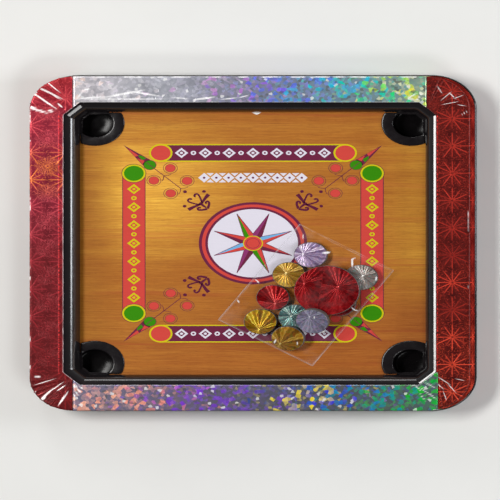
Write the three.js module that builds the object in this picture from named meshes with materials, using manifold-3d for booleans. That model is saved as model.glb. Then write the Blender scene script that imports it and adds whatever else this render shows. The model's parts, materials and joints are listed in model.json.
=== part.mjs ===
// A small carrom board with its discs and striker packed in a clear pouch on the playing surface.
// Millimetres, +Z up. The origin is the centre of the underside, +X is the right side of the board
// and +Y its far side. Every sub-part is one closed solid in its own mesh.
import * as THREE from 'three';
import { mergeVertices } from 'three/addons/utils/BufferGeometryUtils.js';
import Module from 'manifold-3d';

const wasm = await Module();
wasm.setup();

// ---------------------------------------------------------------- driving dimensions

// Frame: a hollow moulding, open underneath
const BOARD_HALF = 152.4; // half of the 12 inch overall width
const FRAME_TOP = 25;
const CORNER_RADIUS = 31;
const LIP_OUT = 1; // how far the base lip stands out past the side wall
const LIP_HEIGHT = 3;
const SHELL = 2.4; // thickness of the skirt and of the rim
const RIM_INNER_HALF = 128.3; // where the flat rim ends and the inner wall begins
const RIM_CHAMFER = 11.5; // leg of the cut-off inner corners at the rim
const LEDGE = 1.7; // flat edge of the inner wall before it curves down
const WALL_FOOT_HALF = 119; // half width of the open playing surface
const WALL_THICKNESS = 2.2;
const WALL_STEPS = 6;
const BAND_LAP = 1.7; // how far the inner wall reaches into the rim that it is part of

// Playing surface
const PLAY_Z = 11; // top of the printed sheet
const SHEET_THICKNESS = 0.4;
const SHEET_HALF = 124;
const SHEET_RADIUS = 2;
const PANEL_THICKNESS = 3;
const PANEL_HALF = 148.6;

// Pockets
const POCKET_CENTRE = 109; // from the middle of the board, along X and along Y
const POCKET_HOLE_RADIUS = 12.6;
const POCKET_TUBE_RADIUS = 13.8;
const POCKET_FLANGE_RADIUS = 20.6;
const POCKET_FLANGE_THICKNESS = 1;
const POCKET_BOTTOM = 1.6;
const POCKET_FLOOR = 1.2;
const POCKET_FOOT_EDGE = 1; // chamfers of the cup: round its foot, the flange and the hole
const POCKET_RIM_EDGE = 0.8;
const POCKET_HOLE_EDGE = 0.6;
const PANEL_HOLE_RADIUS = 14.2;

// Screws and the bosses that they go into
const BOSS_RADIUS = 4;
const SCREW_LINE = 138.5; // distance of the screws from the middle of the board
const SCREW_SPREAD = 70; // and from the middle of their side
const SCREW_SHANK_RADIUS = 1.35;
const SCREW_HOLE_RADIUS = 1.7;
const SCREW_HEAD_RADIUS = 3.2;
const SCREW_HEAD_HEIGHT = 1.9;
const SCREW_CROWN_RADIUS = 2.2; // the flat middle of the domed head
const SCREW_CROWN_HEIGHT = 0.9;
const SCREW_LENGTH = 12;
const SCREW_TIP = 2;

// Foil strips on the rim
const FOIL = 0.3;
const GLUE = 0.05; // the thin gap left for glue between two faces
const FOIL_BOTTOM = 4; // the strips are turned down the side wall to here
const SEAM_GAP = 0.4;
const SEAM_NEAR = 122; // where red meets silver, on three corners
const SEAM_FAR = 130; // and on the near right corner, where silver runs further

// Playing pieces
const DISC_RADIUS = 11.5;
const DISC_THICKNESS = 4.5;
const STRIKER_RADIUS = 22.5;
const STRIKER_THICKNESS = 5;
const DISC_EDGE = 0.4; // small chamfer round both faces
const FACE_FOIL = 0.15;
const FACE_MARGIN = 0.8; // the foil stops short of the edge
const REST_GAP = 0.3; // between a piece and what it lies on

// Pouch, a flat film bag whose long axis is turned on the board
const POUCH_CENTRE = new THREE.Vector2(36.5, -47);
const POUCH_ANGLE = THREE.MathUtils.degToRad(57.1);
const POUCH_LENGTH = 103.6;
const POUCH_WIDTH = 77.5;
const FILM = 0.3;
const WELD = 1.5; // width of the welded edges
const FILM_PLAY = 0.02; // between the pouch and the sheet under it
const ROOM_MARGIN = 2.3; // from the edge of the pouch to the room inside it
const ROOF_LOW = 7.3; // top of the pouch over single discs
const ROOF_MIDDLE = 12.4; // over the raised corner of the leaning discs
const ROOF_HIGH = 18.6; // over the striker

// Smoothness of the round shapes: straight sides round a full turn, or along one corner
const ROUND = 36;
const FOIL_ROUND = 30;
const ROD_ROUND = 16;
const SCREW_ROUND = 14;
const CORNER_STEPS = 7;

const CUT = 1; // how far a cutting tool reaches past the face that it opens

// ---------------------------------------------------------------- materials

const material = (color, roughness, metalness = 0, opacity = 1) =>
  new THREE.MeshStandardMaterial({ color, roughness, metalness, opacity, transparent: opacity < 1 });

const paint = {
  blackPlastic: () => material(0x0d0d0f, 0.25),
  redFoil: () => material(0x9c1420, 0.3, 0.8),
  silverFoil: () => material(0xb9bcc6, 0.25, 0.9),
  goldFoil: () => material(0xb08a2a, 0.3, 0.9),
  hardboard: () => material(0x6b4a2e, 0.8),
  woodPrint: () => material(0xb5762c, 0.35),
  steel: () => material(0x8e9094, 0.35, 1),
  discPlastic: () => material(0x8a8a86, 0.5),
  film: () => material(0xf2f4f6, 0.1, 0, 0.25),
};

// ---------------------------------------------------------------- helpers

const group = new THREE.Group();

function addPart(name, geometry, surface, parent = group) {
  const mesh = new THREE.Mesh(geometry, surface);
  mesh.name = name;
  parent.add(mesh);
  return mesh;
}

function toSolid(geometry) {
  const bare = geometry.clone();
  bare.deleteAttribute('normal');
  bare.deleteAttribute('uv');
  const merged = mergeVertices(bare, 1e-4);
  const vertProperties = new Float32Array(merged.attributes.position.array);
  const triVerts = new Uint32Array(merged.index.array);
  return new wasm.Manifold(new wasm.Mesh({ numProp: 3, vertProperties, triVerts }));
}

function toGeometry(solid) {
  const { vertProperties, triVerts } = solid.getMesh();
  const geometry = new THREE.BufferGeometry();
  geometry.setAttribute('position', new THREE.BufferAttribute(vertProperties, 3));
  geometry.setIndex(new THREE.BufferAttribute(triVerts, 1));
  geometry.computeVertexNormals();
  return geometry;
}

// A shape in the XY plane, extruded from bottom to top
function slab(shape, bottom, top) {
  const geometry = new THREE.ExtrudeGeometry(shape, {
    depth: top - bottom,
    bevelEnabled: false,
    curveSegments: CORNER_STEPS,
  });
  return geometry.translate(0, 0, bottom);
}

function roundedSquare(half, radius) {
  const shape = new THREE.Shape();
  const inner = half - radius;
  shape.absarc(inner, inner, radius, 0, Math.PI / 2);
  shape.absarc(-inner, inner, radius, Math.PI / 2, Math.PI);
  shape.absarc(-inner, -inner, radius, Math.PI, (3 * Math.PI) / 2);
  shape.absarc(inner, -inner, radius, (3 * Math.PI) / 2, 2 * Math.PI);
  return shape;
}

// The corners of the square with cut-off corners that the inner wall follows, at any half width.
// Moving every side inwards by the same distance shortens the cut-off legs by 2 - sqrt(2) of it.
function octagonPoints(half) {
  const leg = RIM_CHAMFER - (2 - Math.SQRT2) * (RIM_INNER_HALF - half);
  const a = half;
  const b = half - leg;
  return [[a, -b], [a, b], [b, a], [-b, a], [-a, b], [-a, -b], [-b, -a], [b, -a]]
    .map(([x, y]) => new THREE.Vector2(x, y));
}

const octagon = (half) => new THREE.Shape(octagonPoints(half));

// A closed band whose section is the list of [half width, height] points, taken round the octagon
function octagonBand(section) {
  const loops = section.map(([half, z]) => octagonPoints(half).map((p) => [p.x, p.y, z]));
  const sides = loops[0].length;
  const index = [];
  for (let i = 0; i < loops.length; i++) {
    const next = (i + 1) % loops.length;
    for (let k = 0; k < sides; k++) {
      const after = (k + 1) % sides;
      const [a, b] = [i * sides + k, i * sides + after];
      const [c, d] = [next * sides + after, next * sides + k];
      index.push(a, b, c, a, c, d);
    }
  }
  const geometry = new THREE.BufferGeometry();
  geometry.setAttribute('position', new THREE.Float32BufferAttribute(loops.flat(2), 3));
  geometry.setIndex(index);
  return geometry;
}

// A round solid from a list of [radius, height] points that starts and ends on the axis
function turned(profile, segments = ROUND) {
  const points = profile.map(([r, z]) => new THREE.Vector2(r, z));
  return new THREE.LatheGeometry(points, segments).rotateX(Math.PI / 2);
}

function rod(radius, bottom, top, segments = ROD_ROUND) {
  const geometry = new THREE.CylinderGeometry(radius, radius, top - bottom, segments);
  return geometry.rotateX(Math.PI / 2).translate(0, 0, (bottom + top) / 2);
}

const corners = [
  { name: 'far_left', x: -1, y: 1 },
  { name: 'far_right', x: 1, y: 1 },
  { name: 'near_left', x: -1, y: -1 },
  { name: 'near_right', x: 1, y: -1 },
];

const screwPlaces = [
  [-SCREW_SPREAD, SCREW_LINE],
  [SCREW_SPREAD, SCREW_LINE],
  [SCREW_LINE, SCREW_SPREAD],
  [SCREW_LINE, -SCREW_SPREAD],
  [SCREW_SPREAD, -SCREW_LINE],
  [-SCREW_SPREAD, -SCREW_LINE],
  [-SCREW_LINE, -SCREW_SPREAD],
  [-SCREW_LINE, SCREW_SPREAD],
];

const PANEL_TOP = PLAY_Z - SHEET_THICKNESS;
const PANEL_BOTTOM = PANEL_TOP - PANEL_THICKNESS;
const SIDE_HALF = BOARD_HALF - LIP_OUT;
const SIDE_RADIUS = CORNER_RADIUS - LIP_OUT;

// ---------------------------------------------------------------- frame

// Section of the inner wall: a flat ledge, then a quarter of an ellipse down to the playing surface
function innerWallSection() {
  const ledgeHalf = RIM_INNER_HALF - LEDGE;
  const reach = ledgeHalf - WALL_FOOT_HALF;
  const drop = FRAME_TOP - PLAY_Z;
  const curve = (inset) => Array.from({ length: WALL_STEPS + 1 }, (_, i) => {
    const angle = (i / WALL_STEPS) * (Math.PI / 2);
    const across = (reach - inset) * Math.sin(angle);
    const up = (drop - inset) * Math.cos(angle);
    return [ledgeHalf - across, PLAY_Z + up];
  });
  const overlap = RIM_INNER_HALF + BAND_LAP;
  return [
    [overlap, FRAME_TOP],
    ...curve(0),
    ...curve(WALL_THICKNESS).reverse(),
    [overlap, FRAME_TOP - WALL_THICKNESS],
  ];
}

function frameGeometry() {
  const lip = toSolid(slab(roundedSquare(BOARD_HALF, CORNER_RADIUS), 0, LIP_HEIGHT));
  const block = toSolid(slab(roundedSquare(SIDE_HALF, SIDE_RADIUS), 0, FRAME_TOP));
  const hollow = roundedSquare(SIDE_HALF - SHELL, SIDE_RADIUS - SHELL);
  const channel = toSolid(slab(hollow, -CUT, FRAME_TOP - SHELL));
  const opening = toSolid(slab(octagon(RIM_INNER_HALF), FRAME_TOP - SHELL - CUT, FRAME_TOP + CUT));
  let frame = lip.add(block).subtract(channel).subtract(opening);
  frame = frame.add(toSolid(octagonBand(innerWallSection())));
  for (const [x, y] of screwPlaces) {
    const boss = toSolid(rod(BOSS_RADIUS, PANEL_TOP + GLUE, FRAME_TOP - SHELL / 2));
    const pilot = toSolid(rod(SCREW_HOLE_RADIUS, PANEL_TOP - CUT, FRAME_TOP - SHELL));
    frame = frame.add(boss.translate([x, y, 0])).subtract(pilot.translate([x, y, 0]));
  }
  return toGeometry(frame);
}

addPart('frame', frameGeometry(), paint.blackPlastic());

// ---------------------------------------------------------------- foil strips

// The foil lies on the rim and is turned down the side wall; each strip keeps its own area of it
function foilStrip(areaPoints) {
  const inner = SIDE_HALF + GLUE;
  const outer = inner + FOIL;
  const under = FRAME_TOP + GLUE;
  const over = under + FOIL;
  const radius = SIDE_RADIUS + GLUE;
  const skin = toSolid(slab(roundedSquare(outer, radius + FOIL), FOIL_BOTTOM, over));
  const core = toSolid(slab(roundedSquare(inner, radius), FOIL_BOTTOM - CUT, under));
  const opening = toSolid(slab(octagon(RIM_INNER_HALF), FRAME_TOP - CUT, over + CUT));
  const area = areaPoints.map(([x, y]) => new THREE.Vector2(x, y));
  const share = toSolid(slab(new THREE.Shape(area), FOIL_BOTTOM - CUT, over + CUT));
  return toGeometry(skin.subtract(core).subtract(opening).intersect(share));
}

const BEYOND = BOARD_HALF + CUT;
const SIDE_END = RIM_INNER_HALF - RIM_CHAMFER; // where the straight inner sides end
const foilAreas = {
  foil_red_left: [
    [-BEYOND, -BEYOND], [-SEAM_NEAR, -BEYOND], [-SEAM_NEAR, BEYOND], [-BEYOND, BEYOND],
  ],
  foil_red_right: [
    [SEAM_FAR, -BEYOND], [BEYOND, -BEYOND], [BEYOND, BEYOND],
    [SEAM_NEAR, BEYOND], [SEAM_NEAR, -SIDE_END], [SEAM_FAR, -SIDE_END],
  ],
  foil_silver_far: [
    [-SEAM_NEAR + SEAM_GAP, 0], [SEAM_NEAR - SEAM_GAP, 0],
    [SEAM_NEAR - SEAM_GAP, BEYOND], [-SEAM_NEAR + SEAM_GAP, BEYOND],
  ],
  foil_silver_near: [
    [-SEAM_NEAR + SEAM_GAP, -BEYOND], [SEAM_FAR - SEAM_GAP, -BEYOND],
    [SEAM_FAR - SEAM_GAP, -SIDE_END - SEAM_GAP], [-SEAM_NEAR + SEAM_GAP, -SIDE_END - SEAM_GAP],
  ],
};

for (const [name, area] of Object.entries(foilAreas)) {
  const surface = name.includes('red') ? paint.redFoil() : paint.silverFoil();
  addPart(name, foilStrip(area), surface);
}

// ---------------------------------------------------------------- playing surface

function drilledSlab(half, radius, bottom, top, withScrewHoles) {
  let board = toSolid(slab(roundedSquare(half, radius), bottom, top));
  for (const corner of corners) {
    const hole = toSolid(rod(PANEL_HOLE_RADIUS, bottom - CUT, top + CUT, ROUND));
    board = board.subtract(hole.translate([corner.x * POCKET_CENTRE, corner.y * POCKET_CENTRE, 0]));
  }
  const holes = withScrewHoles ? screwPlaces : [];
  for (const [x, y] of holes) {
    const hole = toSolid(rod(SCREW_HOLE_RADIUS, bottom - CUT, top + CUT));
    board = board.subtract(hole.translate([x, y, 0]));
  }
  return toGeometry(board);
}

const panel = drilledSlab(PANEL_HALF, SIDE_RADIUS - SHELL, PANEL_BOTTOM, PANEL_TOP, true);
const sheet = drilledSlab(SHEET_HALF, SHEET_RADIUS, PANEL_TOP, PLAY_Z, false);
addPart('hardboard_panel', panel, paint.hardboard());
addPart('printed_sheet', sheet, paint.woodPrint());

// ---------------------------------------------------------------- pockets

// Above the sheet a flange only reaches as far as the foot of the inner wall
const flangeTop = PLAY_Z + POCKET_FLANGE_THICKNESS;
const flangeLimit = toSolid(
  slab(octagon(WALL_FOOT_HALF - REST_GAP), PLAY_Z - 2 * CUT, flangeTop + 2 * CUT),
);
const abovePlay = toSolid(
  slab(roundedSquare(BOARD_HALF, CORNER_RADIUS), PLAY_Z, flangeTop + CUT),
);
const outsideLimit = abovePlay.subtract(flangeLimit);

function pocketGeometry({ x, y }) {
  const cup = turned([
    [0, POCKET_BOTTOM],
    [POCKET_TUBE_RADIUS - POCKET_FOOT_EDGE, POCKET_BOTTOM],
    [POCKET_TUBE_RADIUS, POCKET_BOTTOM + POCKET_FOOT_EDGE],
    [POCKET_TUBE_RADIUS, PLAY_Z],
    [POCKET_FLANGE_RADIUS, PLAY_Z],
    [POCKET_FLANGE_RADIUS - POCKET_RIM_EDGE, flangeTop],
    [POCKET_HOLE_RADIUS + POCKET_HOLE_EDGE, flangeTop],
    [POCKET_HOLE_RADIUS, flangeTop - POCKET_HOLE_EDGE],
    [POCKET_HOLE_RADIUS, POCKET_BOTTOM + POCKET_FLOOR],
    [0, POCKET_BOTTOM + POCKET_FLOOR],
  ]);
  const placed = toSolid(cup).translate([x * POCKET_CENTRE, y * POCKET_CENTRE, 0]);
  return toGeometry(placed.subtract(outsideLimit));
}

for (const corner of corners) {
  addPart(`pocket_${corner.name}`, pocketGeometry(corner), paint.blackPlastic());
}

// ---------------------------------------------------------------- screws

function screwGeometry() {
  const head = PANEL_BOTTOM - SCREW_HEAD_HEIGHT;
  return turned([
    [0, head],
    [SCREW_CROWN_RADIUS, head],
    [SCREW_HEAD_RADIUS, head + SCREW_CROWN_HEIGHT],
    [SCREW_HEAD_RADIUS, PANEL_BOTTOM],
    [SCREW_SHANK_RADIUS, PANEL_BOTTOM],
    [SCREW_SHANK_RADIUS, PANEL_BOTTOM + SCREW_LENGTH - SCREW_TIP],
    [0, PANEL_BOTTOM + SCREW_LENGTH],
  ], SCREW_ROUND);
}

screwPlaces.forEach(([x, y], i) => {
  addPart(`panel_screw_${i + 1}`, screwGeometry(), paint.steel()).position.set(x, y, 0);
});

// ---------------------------------------------------------------- playing pieces

const discSize = { radius: DISC_RADIUS, thickness: DISC_THICKNESS };
const strikerSize = { radius: STRIKER_RADIUS, thickness: STRIKER_THICKNESS };
const FOIL_OUT = GLUE + FACE_FOIL; // how far a foil face stands out from its disc
const BOTTOM_Z = PLAY_Z + FILM + REST_GAP + FOIL_OUT; // underside of the discs that lie on the film
const SECOND_Z = BOTTOM_Z + DISC_THICKNESS + 2 * FOIL_OUT + REST_GAP; // the striker lies on those

// Each piece: the centre of its underside, and the way its leaning ones tip: towards is the compass
// direction of the raised side in degrees from +X, and tilt how steep it leans
const pieces = [
  { name: 'silver_disc_1', ...discSize, foil: 'silverFoil', at: [40.4, -10.4, BOTTOM_Z] },
  { name: 'gold_disc_1', ...discSize, foil: 'goldFoil', at: [25.6, -28.5, BOTTOM_Z] },
  { name: 'silver_disc_2', ...discSize, foil: 'silverFoil', at: [75.0, -30.9, BOTTOM_Z] },
  { name: 'red_disc_1', ...discSize, foil: 'redFoil', at: [14.5, -49.1, BOTTOM_Z] },
  { name: 'red_disc_2', ...discSize, foil: 'redFoil', at: [60.0, -54.5, BOTTOM_Z] },
  { name: 'silver_disc_3', ...discSize, foil: 'silverFoil', at: [29.7, -66.9, BOTTOM_Z] },
  { name: 'gold_disc_2', ...discSize, foil: 'goldFoil', at: [5.9, -70.9, BOTTOM_Z] },
  { name: 'striker', ...strikerSize, foil: 'redFoil', at: [52.6, -42.6, SECOND_Z] },
  {
    name: 'silver_disc_4', ...discSize, foil: 'silverFoil', at: [43.4, -69.3, BOTTOM_Z + 8.9],
    tilt: 19.5, towards: 71.5,
  },
  {
    name: 'gold_disc_3', ...discSize, foil: 'goldFoil', at: [25.5, -85.2, BOTTOM_Z + 3.1],
    tilt: 15, towards: 77,
  },
];

function discGeometry({ radius, thickness }) {
  return turned([
    [0, 0],
    [radius - DISC_EDGE, 0],
    [radius, DISC_EDGE],
    [radius, thickness - DISC_EDGE],
    [radius - DISC_EDGE, thickness],
    [0, thickness],
  ], ROUND);
}

for (const piece of pieces) {
  const { name, radius, thickness, foil, at, tilt = 0, towards = 0 } = piece;
  const holder = new THREE.Group();
  holder.position.set(...at);
  const lean = THREE.MathUtils.degToRad(towards + 90);
  holder.quaternion.setFromAxisAngle(
    new THREE.Vector3(Math.cos(lean), Math.sin(lean), 0),
    -THREE.MathUtils.degToRad(tilt),
  );
  group.add(holder);
  const faceRadius = radius - FACE_MARGIN;
  const face = rod(faceRadius, thickness + GLUE, thickness + FOIL_OUT, FOIL_ROUND);
  const back = rod(faceRadius, -FOIL_OUT, -GLUE, FOIL_ROUND);
  addPart(name, discGeometry(piece), paint.discPlastic(), holder);
  addPart(`${name}_face`, face, paint[foil](), holder);
  addPart(`${name}_back`, back, paint[foil](), holder);
}

// ---------------------------------------------------------------- pouch

// Section of the pouch across its length, as [sideways, height] points of its outer surface. The
// film stands low over the single layer of discs on the left and high over the stack on the right.
const pouchHalf = POUCH_WIDTH / 2;
const weldTop = 2 * FILM + 0.1;
const pouchRoof = [
  [pouchHalf, weldTop],
  [pouchHalf - WELD, 1],
  [pouchHalf - WELD - 0.4, 15],
  [33, ROOF_HIGH],
  [6, ROOF_HIGH],
  [1, ROOF_MIDDLE + 1],
  [-12.4, ROOF_MIDDLE],
  [-16, ROOF_LOW],
  [-34, ROOF_LOW],
  [-pouchHalf + WELD + 0.2, 5],
  [-pouchHalf + WELD, 1],
  [-pouchHalf, weldTop],
];

function pouchGeometry() {
  const toPoints = (list) => list.map(([x, y]) => new THREE.Vector2(x, y));
  const outside = new THREE.Shape(toPoints([[-pouchHalf, 0], [pouchHalf, 0], ...pouchRoof]));
  const roomHalf = pouchHalf - ROOM_MARGIN;
  const roofInside = pouchRoof.slice(2, -2).map(([x, y]) => [
    THREE.MathUtils.clamp(x, -roomHalf, roomHalf),
    y - 1.5 * FILM,
  ]);
  const inside = new THREE.Shape(toPoints([[-roomHalf, FILM], [roomHalf, FILM], ...roofInside]));
  const skin = toSolid(slab(outside, 0, POUCH_LENGTH));
  const room = toSolid(slab(inside, -CUT, POUCH_LENGTH - WELD));
  return toGeometry(skin.subtract(room));
}

// The section is stood up with the mouth at the far end, then the pouch is turned on the board
const pouch = addPart('pouch', pouchGeometry(), paint.film());
pouch.geometry.rotateX(Math.PI / 2).translate(0, POUCH_LENGTH / 2, 0);
pouch.rotation.z = POUCH_ANGLE - Math.PI / 2;
pouch.position.set(POUCH_CENTRE.x, POUCH_CENTRE.y, PLAY_Z + FILM_PLAY);

export default group;
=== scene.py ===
"""The look of a small carrom board with its playing pieces in a clear pouch.

Lengths are in millimetres and become metres as each mesh is made. The frame of every mesh is the
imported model's own: the origin is the middle of the underside, +X right, +Y far, +Z up.
"""

import json
import math
import random

import bmesh
import bpy
import numpy as np
from mathutils import Matrix, Vector, noise


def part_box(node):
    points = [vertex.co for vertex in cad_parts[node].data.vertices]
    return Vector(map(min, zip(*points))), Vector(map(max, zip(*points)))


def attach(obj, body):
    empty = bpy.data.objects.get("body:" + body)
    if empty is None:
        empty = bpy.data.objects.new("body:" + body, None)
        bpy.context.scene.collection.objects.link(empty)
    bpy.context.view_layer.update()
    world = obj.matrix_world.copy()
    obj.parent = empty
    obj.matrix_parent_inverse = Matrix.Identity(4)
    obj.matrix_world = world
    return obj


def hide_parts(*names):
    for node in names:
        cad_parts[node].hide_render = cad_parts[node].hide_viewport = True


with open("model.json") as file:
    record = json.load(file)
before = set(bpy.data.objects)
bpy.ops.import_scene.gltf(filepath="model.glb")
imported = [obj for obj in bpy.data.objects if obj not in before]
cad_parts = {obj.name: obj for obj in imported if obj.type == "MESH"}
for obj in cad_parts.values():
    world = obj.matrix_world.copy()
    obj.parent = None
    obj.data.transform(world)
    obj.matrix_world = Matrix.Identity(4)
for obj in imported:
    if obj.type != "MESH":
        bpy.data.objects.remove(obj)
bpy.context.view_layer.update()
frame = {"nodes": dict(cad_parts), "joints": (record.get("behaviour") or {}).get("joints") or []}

MM = 0.001
SEED = 11

# ------------------------------------------------------------------ sizes, as in the CAD

BOARD_HALF = 152.4
SIDE_HALF = 151.4
SIDE_RADIUS = 30.0
FRAME_TOP = 25.0
LIP_HEIGHT = 3.0
SHELL = 2.4
RIM_INNER_HALF = 128.3
RIM_CHAMFER = 11.5
LEDGE = 1.7
WALL_FOOT_HALF = 119.0
WALL_THICKNESS = 2.2
PLAY_Z = 11.0
PANEL_TOP = 10.6
POCKET_CENTRE = 109.0
POCKET_HOLE_RADIUS = 12.6
POCKET_TUBE_RADIUS = 13.8
POCKET_FLANGE_RADIUS = 20.6
POCKET_FLANGE = 1.0
POCKET_BOTTOM = 1.6
POCKET_FLOOR = 1.2
BOSS_RADIUS = 4.0
PILOT_RADIUS = 1.7
SCREW_LINE = 138.5
SCREW_SPREAD = 70.0
SCREW_HEAD_BOTTOM = 5.7
FOIL_BOTTOM = 4.0
SEAM_NEAR = 122.0
SEAM_FAR = 130.0
SEAM_GAP = 0.4

DISC_RADIUS = 11.5
DISC_THICKNESS = 4.5
STRIKER_RADIUS = 22.5
STRIKER_THICKNESS = 5.0
FACE_MARGIN = 0.45
BOTTOM_Z = 11.8
SECOND_Z = 17.0

POUCH_CENTRE = (36.5, -47.0)
POUCH_ANGLE = math.radians(57.1)
POUCH_LENGTH = 103.6
POUCH_WIDTH = 77.5
POUCH_Z = 11.05
WELD = 1.5
WELD_Z = POUCH_Z + 0.15


# ------------------------------------------------------------------ meshes

def link(obj):
    """Puts an object into the scene."""
    bpy.context.scene.collection.objects.link(obj)
    return obj


def mesh_object(name, points, faces, materials, body, slot, replaces=(), smooth=True, indices=None):
    """A piece from points in millimetres, riding on a body."""
    mesh = bpy.data.meshes.new(name)
    mesh.from_pydata([tuple(c * MM for c in p) for p in points], [], faces)
    for material in materials:
        mesh.materials.append(material)
    if indices is not None:
        mesh.polygons.foreach_set("material_index", indices)
    mesh.validate()
    work = bmesh.new()
    work.from_mesh(mesh)
    bmesh.ops.recalc_face_normals(work, faces=work.faces)
    work.to_mesh(mesh)
    work.free()
    mesh.polygons.foreach_set("use_smooth", [smooth] * len(mesh.polygons))
    obj = link(bpy.data.objects.new(name, mesh))
    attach(obj, body)
    if replaces:
        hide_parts(*replaces)
    return obj


def keep_creases(obj, degrees):
    """Smooth shading, but with the edges sharper than this kept crisp."""
    obj.data.set_sharp_from_angle(angle=math.radians(degrees))


def give_uv(obj, flat_points):
    """A UV map named flat, from one (x, y) in millimetres for each vertex; 1 unit is 100 mm."""
    layer = obj.data.uv_layers.new(name="flat")
    for loop in obj.data.loops:
        x, y = flat_points[loop.vertex_index]
        layer.data[loop.index].uv = (x / 100, y / 100)


def give_value(obj, name, values):
    """A painted number for each vertex, read by the material."""
    attribute = obj.data.attributes.new(name, "FLOAT", "POINT")
    attribute.data.foreach_set("value", values)


def grid_faces(rows, columns, closed_rows=False, closed_columns=False):
    """Quads between rows of points; point (i, j) has the index i * columns + j."""
    faces = []
    for i in range(rows if closed_rows else rows - 1):
        for j in range(columns if closed_columns else columns - 1):
            below = (i + 1) % rows
            beside = (j + 1) % columns
            faces.append((i * columns + j, i * columns + beside,
                          below * columns + beside, below * columns + j))
    return faces


def rotated(x, y, angle):
    """A point turned about the origin."""
    return x * math.cos(angle) - y * math.sin(angle), x * math.sin(angle) + y * math.cos(angle)


def around(count):
    """Evenly spaced angles round a circle."""
    return [2 * math.pi * k / count for k in range(count)]


def polar(radius, angle, x=0.0, y=0.0):
    """The point at this distance and angle from (x, y)."""
    return x + radius * math.cos(angle), y + radius * math.sin(angle)


def round_faces(ring_count, segments):
    """Faces of a round solid whose points are one on the axis, then rings, then one on the axis."""
    last = 1 + ring_count * segments
    faces = []
    for hub, ring in ((0, 1), (last, last - segments)):
        faces += [(hub, ring + k, ring + (k + 1) % segments) for k in range(segments)]
    walls = grid_faces(ring_count, segments, closed_columns=True)
    return faces + [tuple(1 + i for i in face) for face in walls]


def turned(profile, segments, centre=(0.0, 0.0)):
    """Points and faces of a round solid from (radius, z) pairs that start and end on the axis."""
    rings = profile[1:-1]
    points = [(*centre, profile[0][1])]
    points += [(*polar(radius, angle, *centre), z) for radius, z in rings for angle in around(segments)]
    points.append((*centre, profile[-1][1]))
    return points, round_faces(len(rings), segments)


def joined(parts):
    """Several (points, faces) as one."""
    points = []
    faces = []
    for part_points, part_faces in parts:
        base = len(points)
        points.extend(part_points)
        faces.extend(tuple(base + i for i in face) for face in part_faces)
    return points, faces


def wobble(x, y, scale, seed=0.0):
    """Smooth noise from -1 to 1 over a surface; scale is the size of its waves in millimetres."""
    return noise.noise(Vector((x / scale, y / scale, seed)))


# ------------------------------------------------------------------ materials

def mark_strength(x, y, marks):
    """How strongly a point lies on listed streaks: (x, y, length, width, turn in degrees)."""
    strongest = 0.0
    for mark_x, mark_y, length, width, turn in marks:
        angle = math.radians(turn)
        dx = x - mark_x
        dy = y - mark_y
        lengthways = (dx * math.cos(angle) + dy * math.sin(angle)) / (length / 2)
        sideways = (dy * math.cos(angle) - dx * math.sin(angle)) / (width / 2)
        ragged = 0.35 * wobble(x, y, 0.9, mark_x)
        strongest = max(strongest, 1.25 - lengthways ** 2 - sideways ** 2 + ragged)
    return min(1.0, max(0.0, strongest))


class Signal:
    """A value on its way from one node to the next, with plain arithmetic."""

    def __init__(self, nodes, socket):
        self.nodes = nodes
        self.socket = socket

    def __add__(self, other):
        return self.nodes.math("ADD", self, other)

    def __sub__(self, other):
        return self.nodes.math("SUBTRACT", self, other)

    def __rsub__(self, other):
        return self.nodes.math("SUBTRACT", other, self)

    def __mul__(self, other):
        return self.nodes.math("MULTIPLY", self, other)

    def __truediv__(self, other):
        return self.nodes.math("DIVIDE", self, other)

    def __abs__(self):
        return self.nodes.math("ABSOLUTE", self)


class Nodes:
    """A node tree, with short calls for the nodes that it uses; each call gives the node's result."""

    def __init__(self, tree):
        self.tree = tree

    def node(self, kind, **settings):
        """A new node with these settings."""
        made = self.tree.nodes.new(kind)
        for key, value in settings.items():
            setattr(made, key, value)
        return made

    def put(self, socket, value):
        """Links a socket to a signal, or gives it a plain value."""
        if isinstance(value, Signal):
            self.tree.links.new(value.socket, socket)
        elif value is not None:
            socket.default_value = value

    def output(self, node, name):
        """One of a node's results."""
        return Signal(self, node.outputs[name])

    def math(self, operation, a, b=None, c=None, clamp=False):
        """The result of a calculation with one to three values."""
        made = self.node("ShaderNodeMath", operation=operation, use_clamp=clamp)
        for socket, value in zip(made.inputs, (a, b, c)):
            self.put(socket, value)
        return self.output(made, 0)

    def split(self, vector):
        """The three parts of a vector or a colour."""
        made = self.node("ShaderNodeSeparateXYZ")
        self.put(made.inputs[0], vector)
        return [self.output(made, part) for part in range(3)]

    def ramp(self, factor, stops):
        """A colour that goes through the stops as the factor goes from 0 to 1."""
        made = self.node("ShaderNodeValToRGB")
        ramp = made.color_ramp
        while len(ramp.elements) < len(stops):
            ramp.elements.new(1.0)
        for element, (position, colour) in zip(ramp.elements, stops):
            element.position = position
            element.color = (*colour, 1.0)
        self.put(made.inputs[0], factor)
        return self.output(made, "Color")

    def span(self, value, low, high, out_low=0.0, out_high=1.0):
        """Maps low..high to out_low..out_high and stays within them."""
        made = self.node("ShaderNodeMapRange", clamp=True)
        for name, setting in (("Value", value), ("From Min", low), ("From Max", high),
                              ("To Min", out_low), ("To Max", out_high)):
            self.put(made.inputs[name], setting)
        return self.output(made, "Result")

    def mix(self, factor, a, b, blend="MIX"):
        """From colour a to colour b as the factor goes from 0 to 1."""
        made = self.node("ShaderNodeMix", data_type="RGBA", blend_type=blend)
        self.put(made.inputs["Factor"], factor)
        for socket, value in ((made.inputs[6], a), (made.inputs[7], b)):
            self.put(socket, (*value, 1.0) if isinstance(value, tuple) else value)
        return self.output(made, 2)


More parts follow.
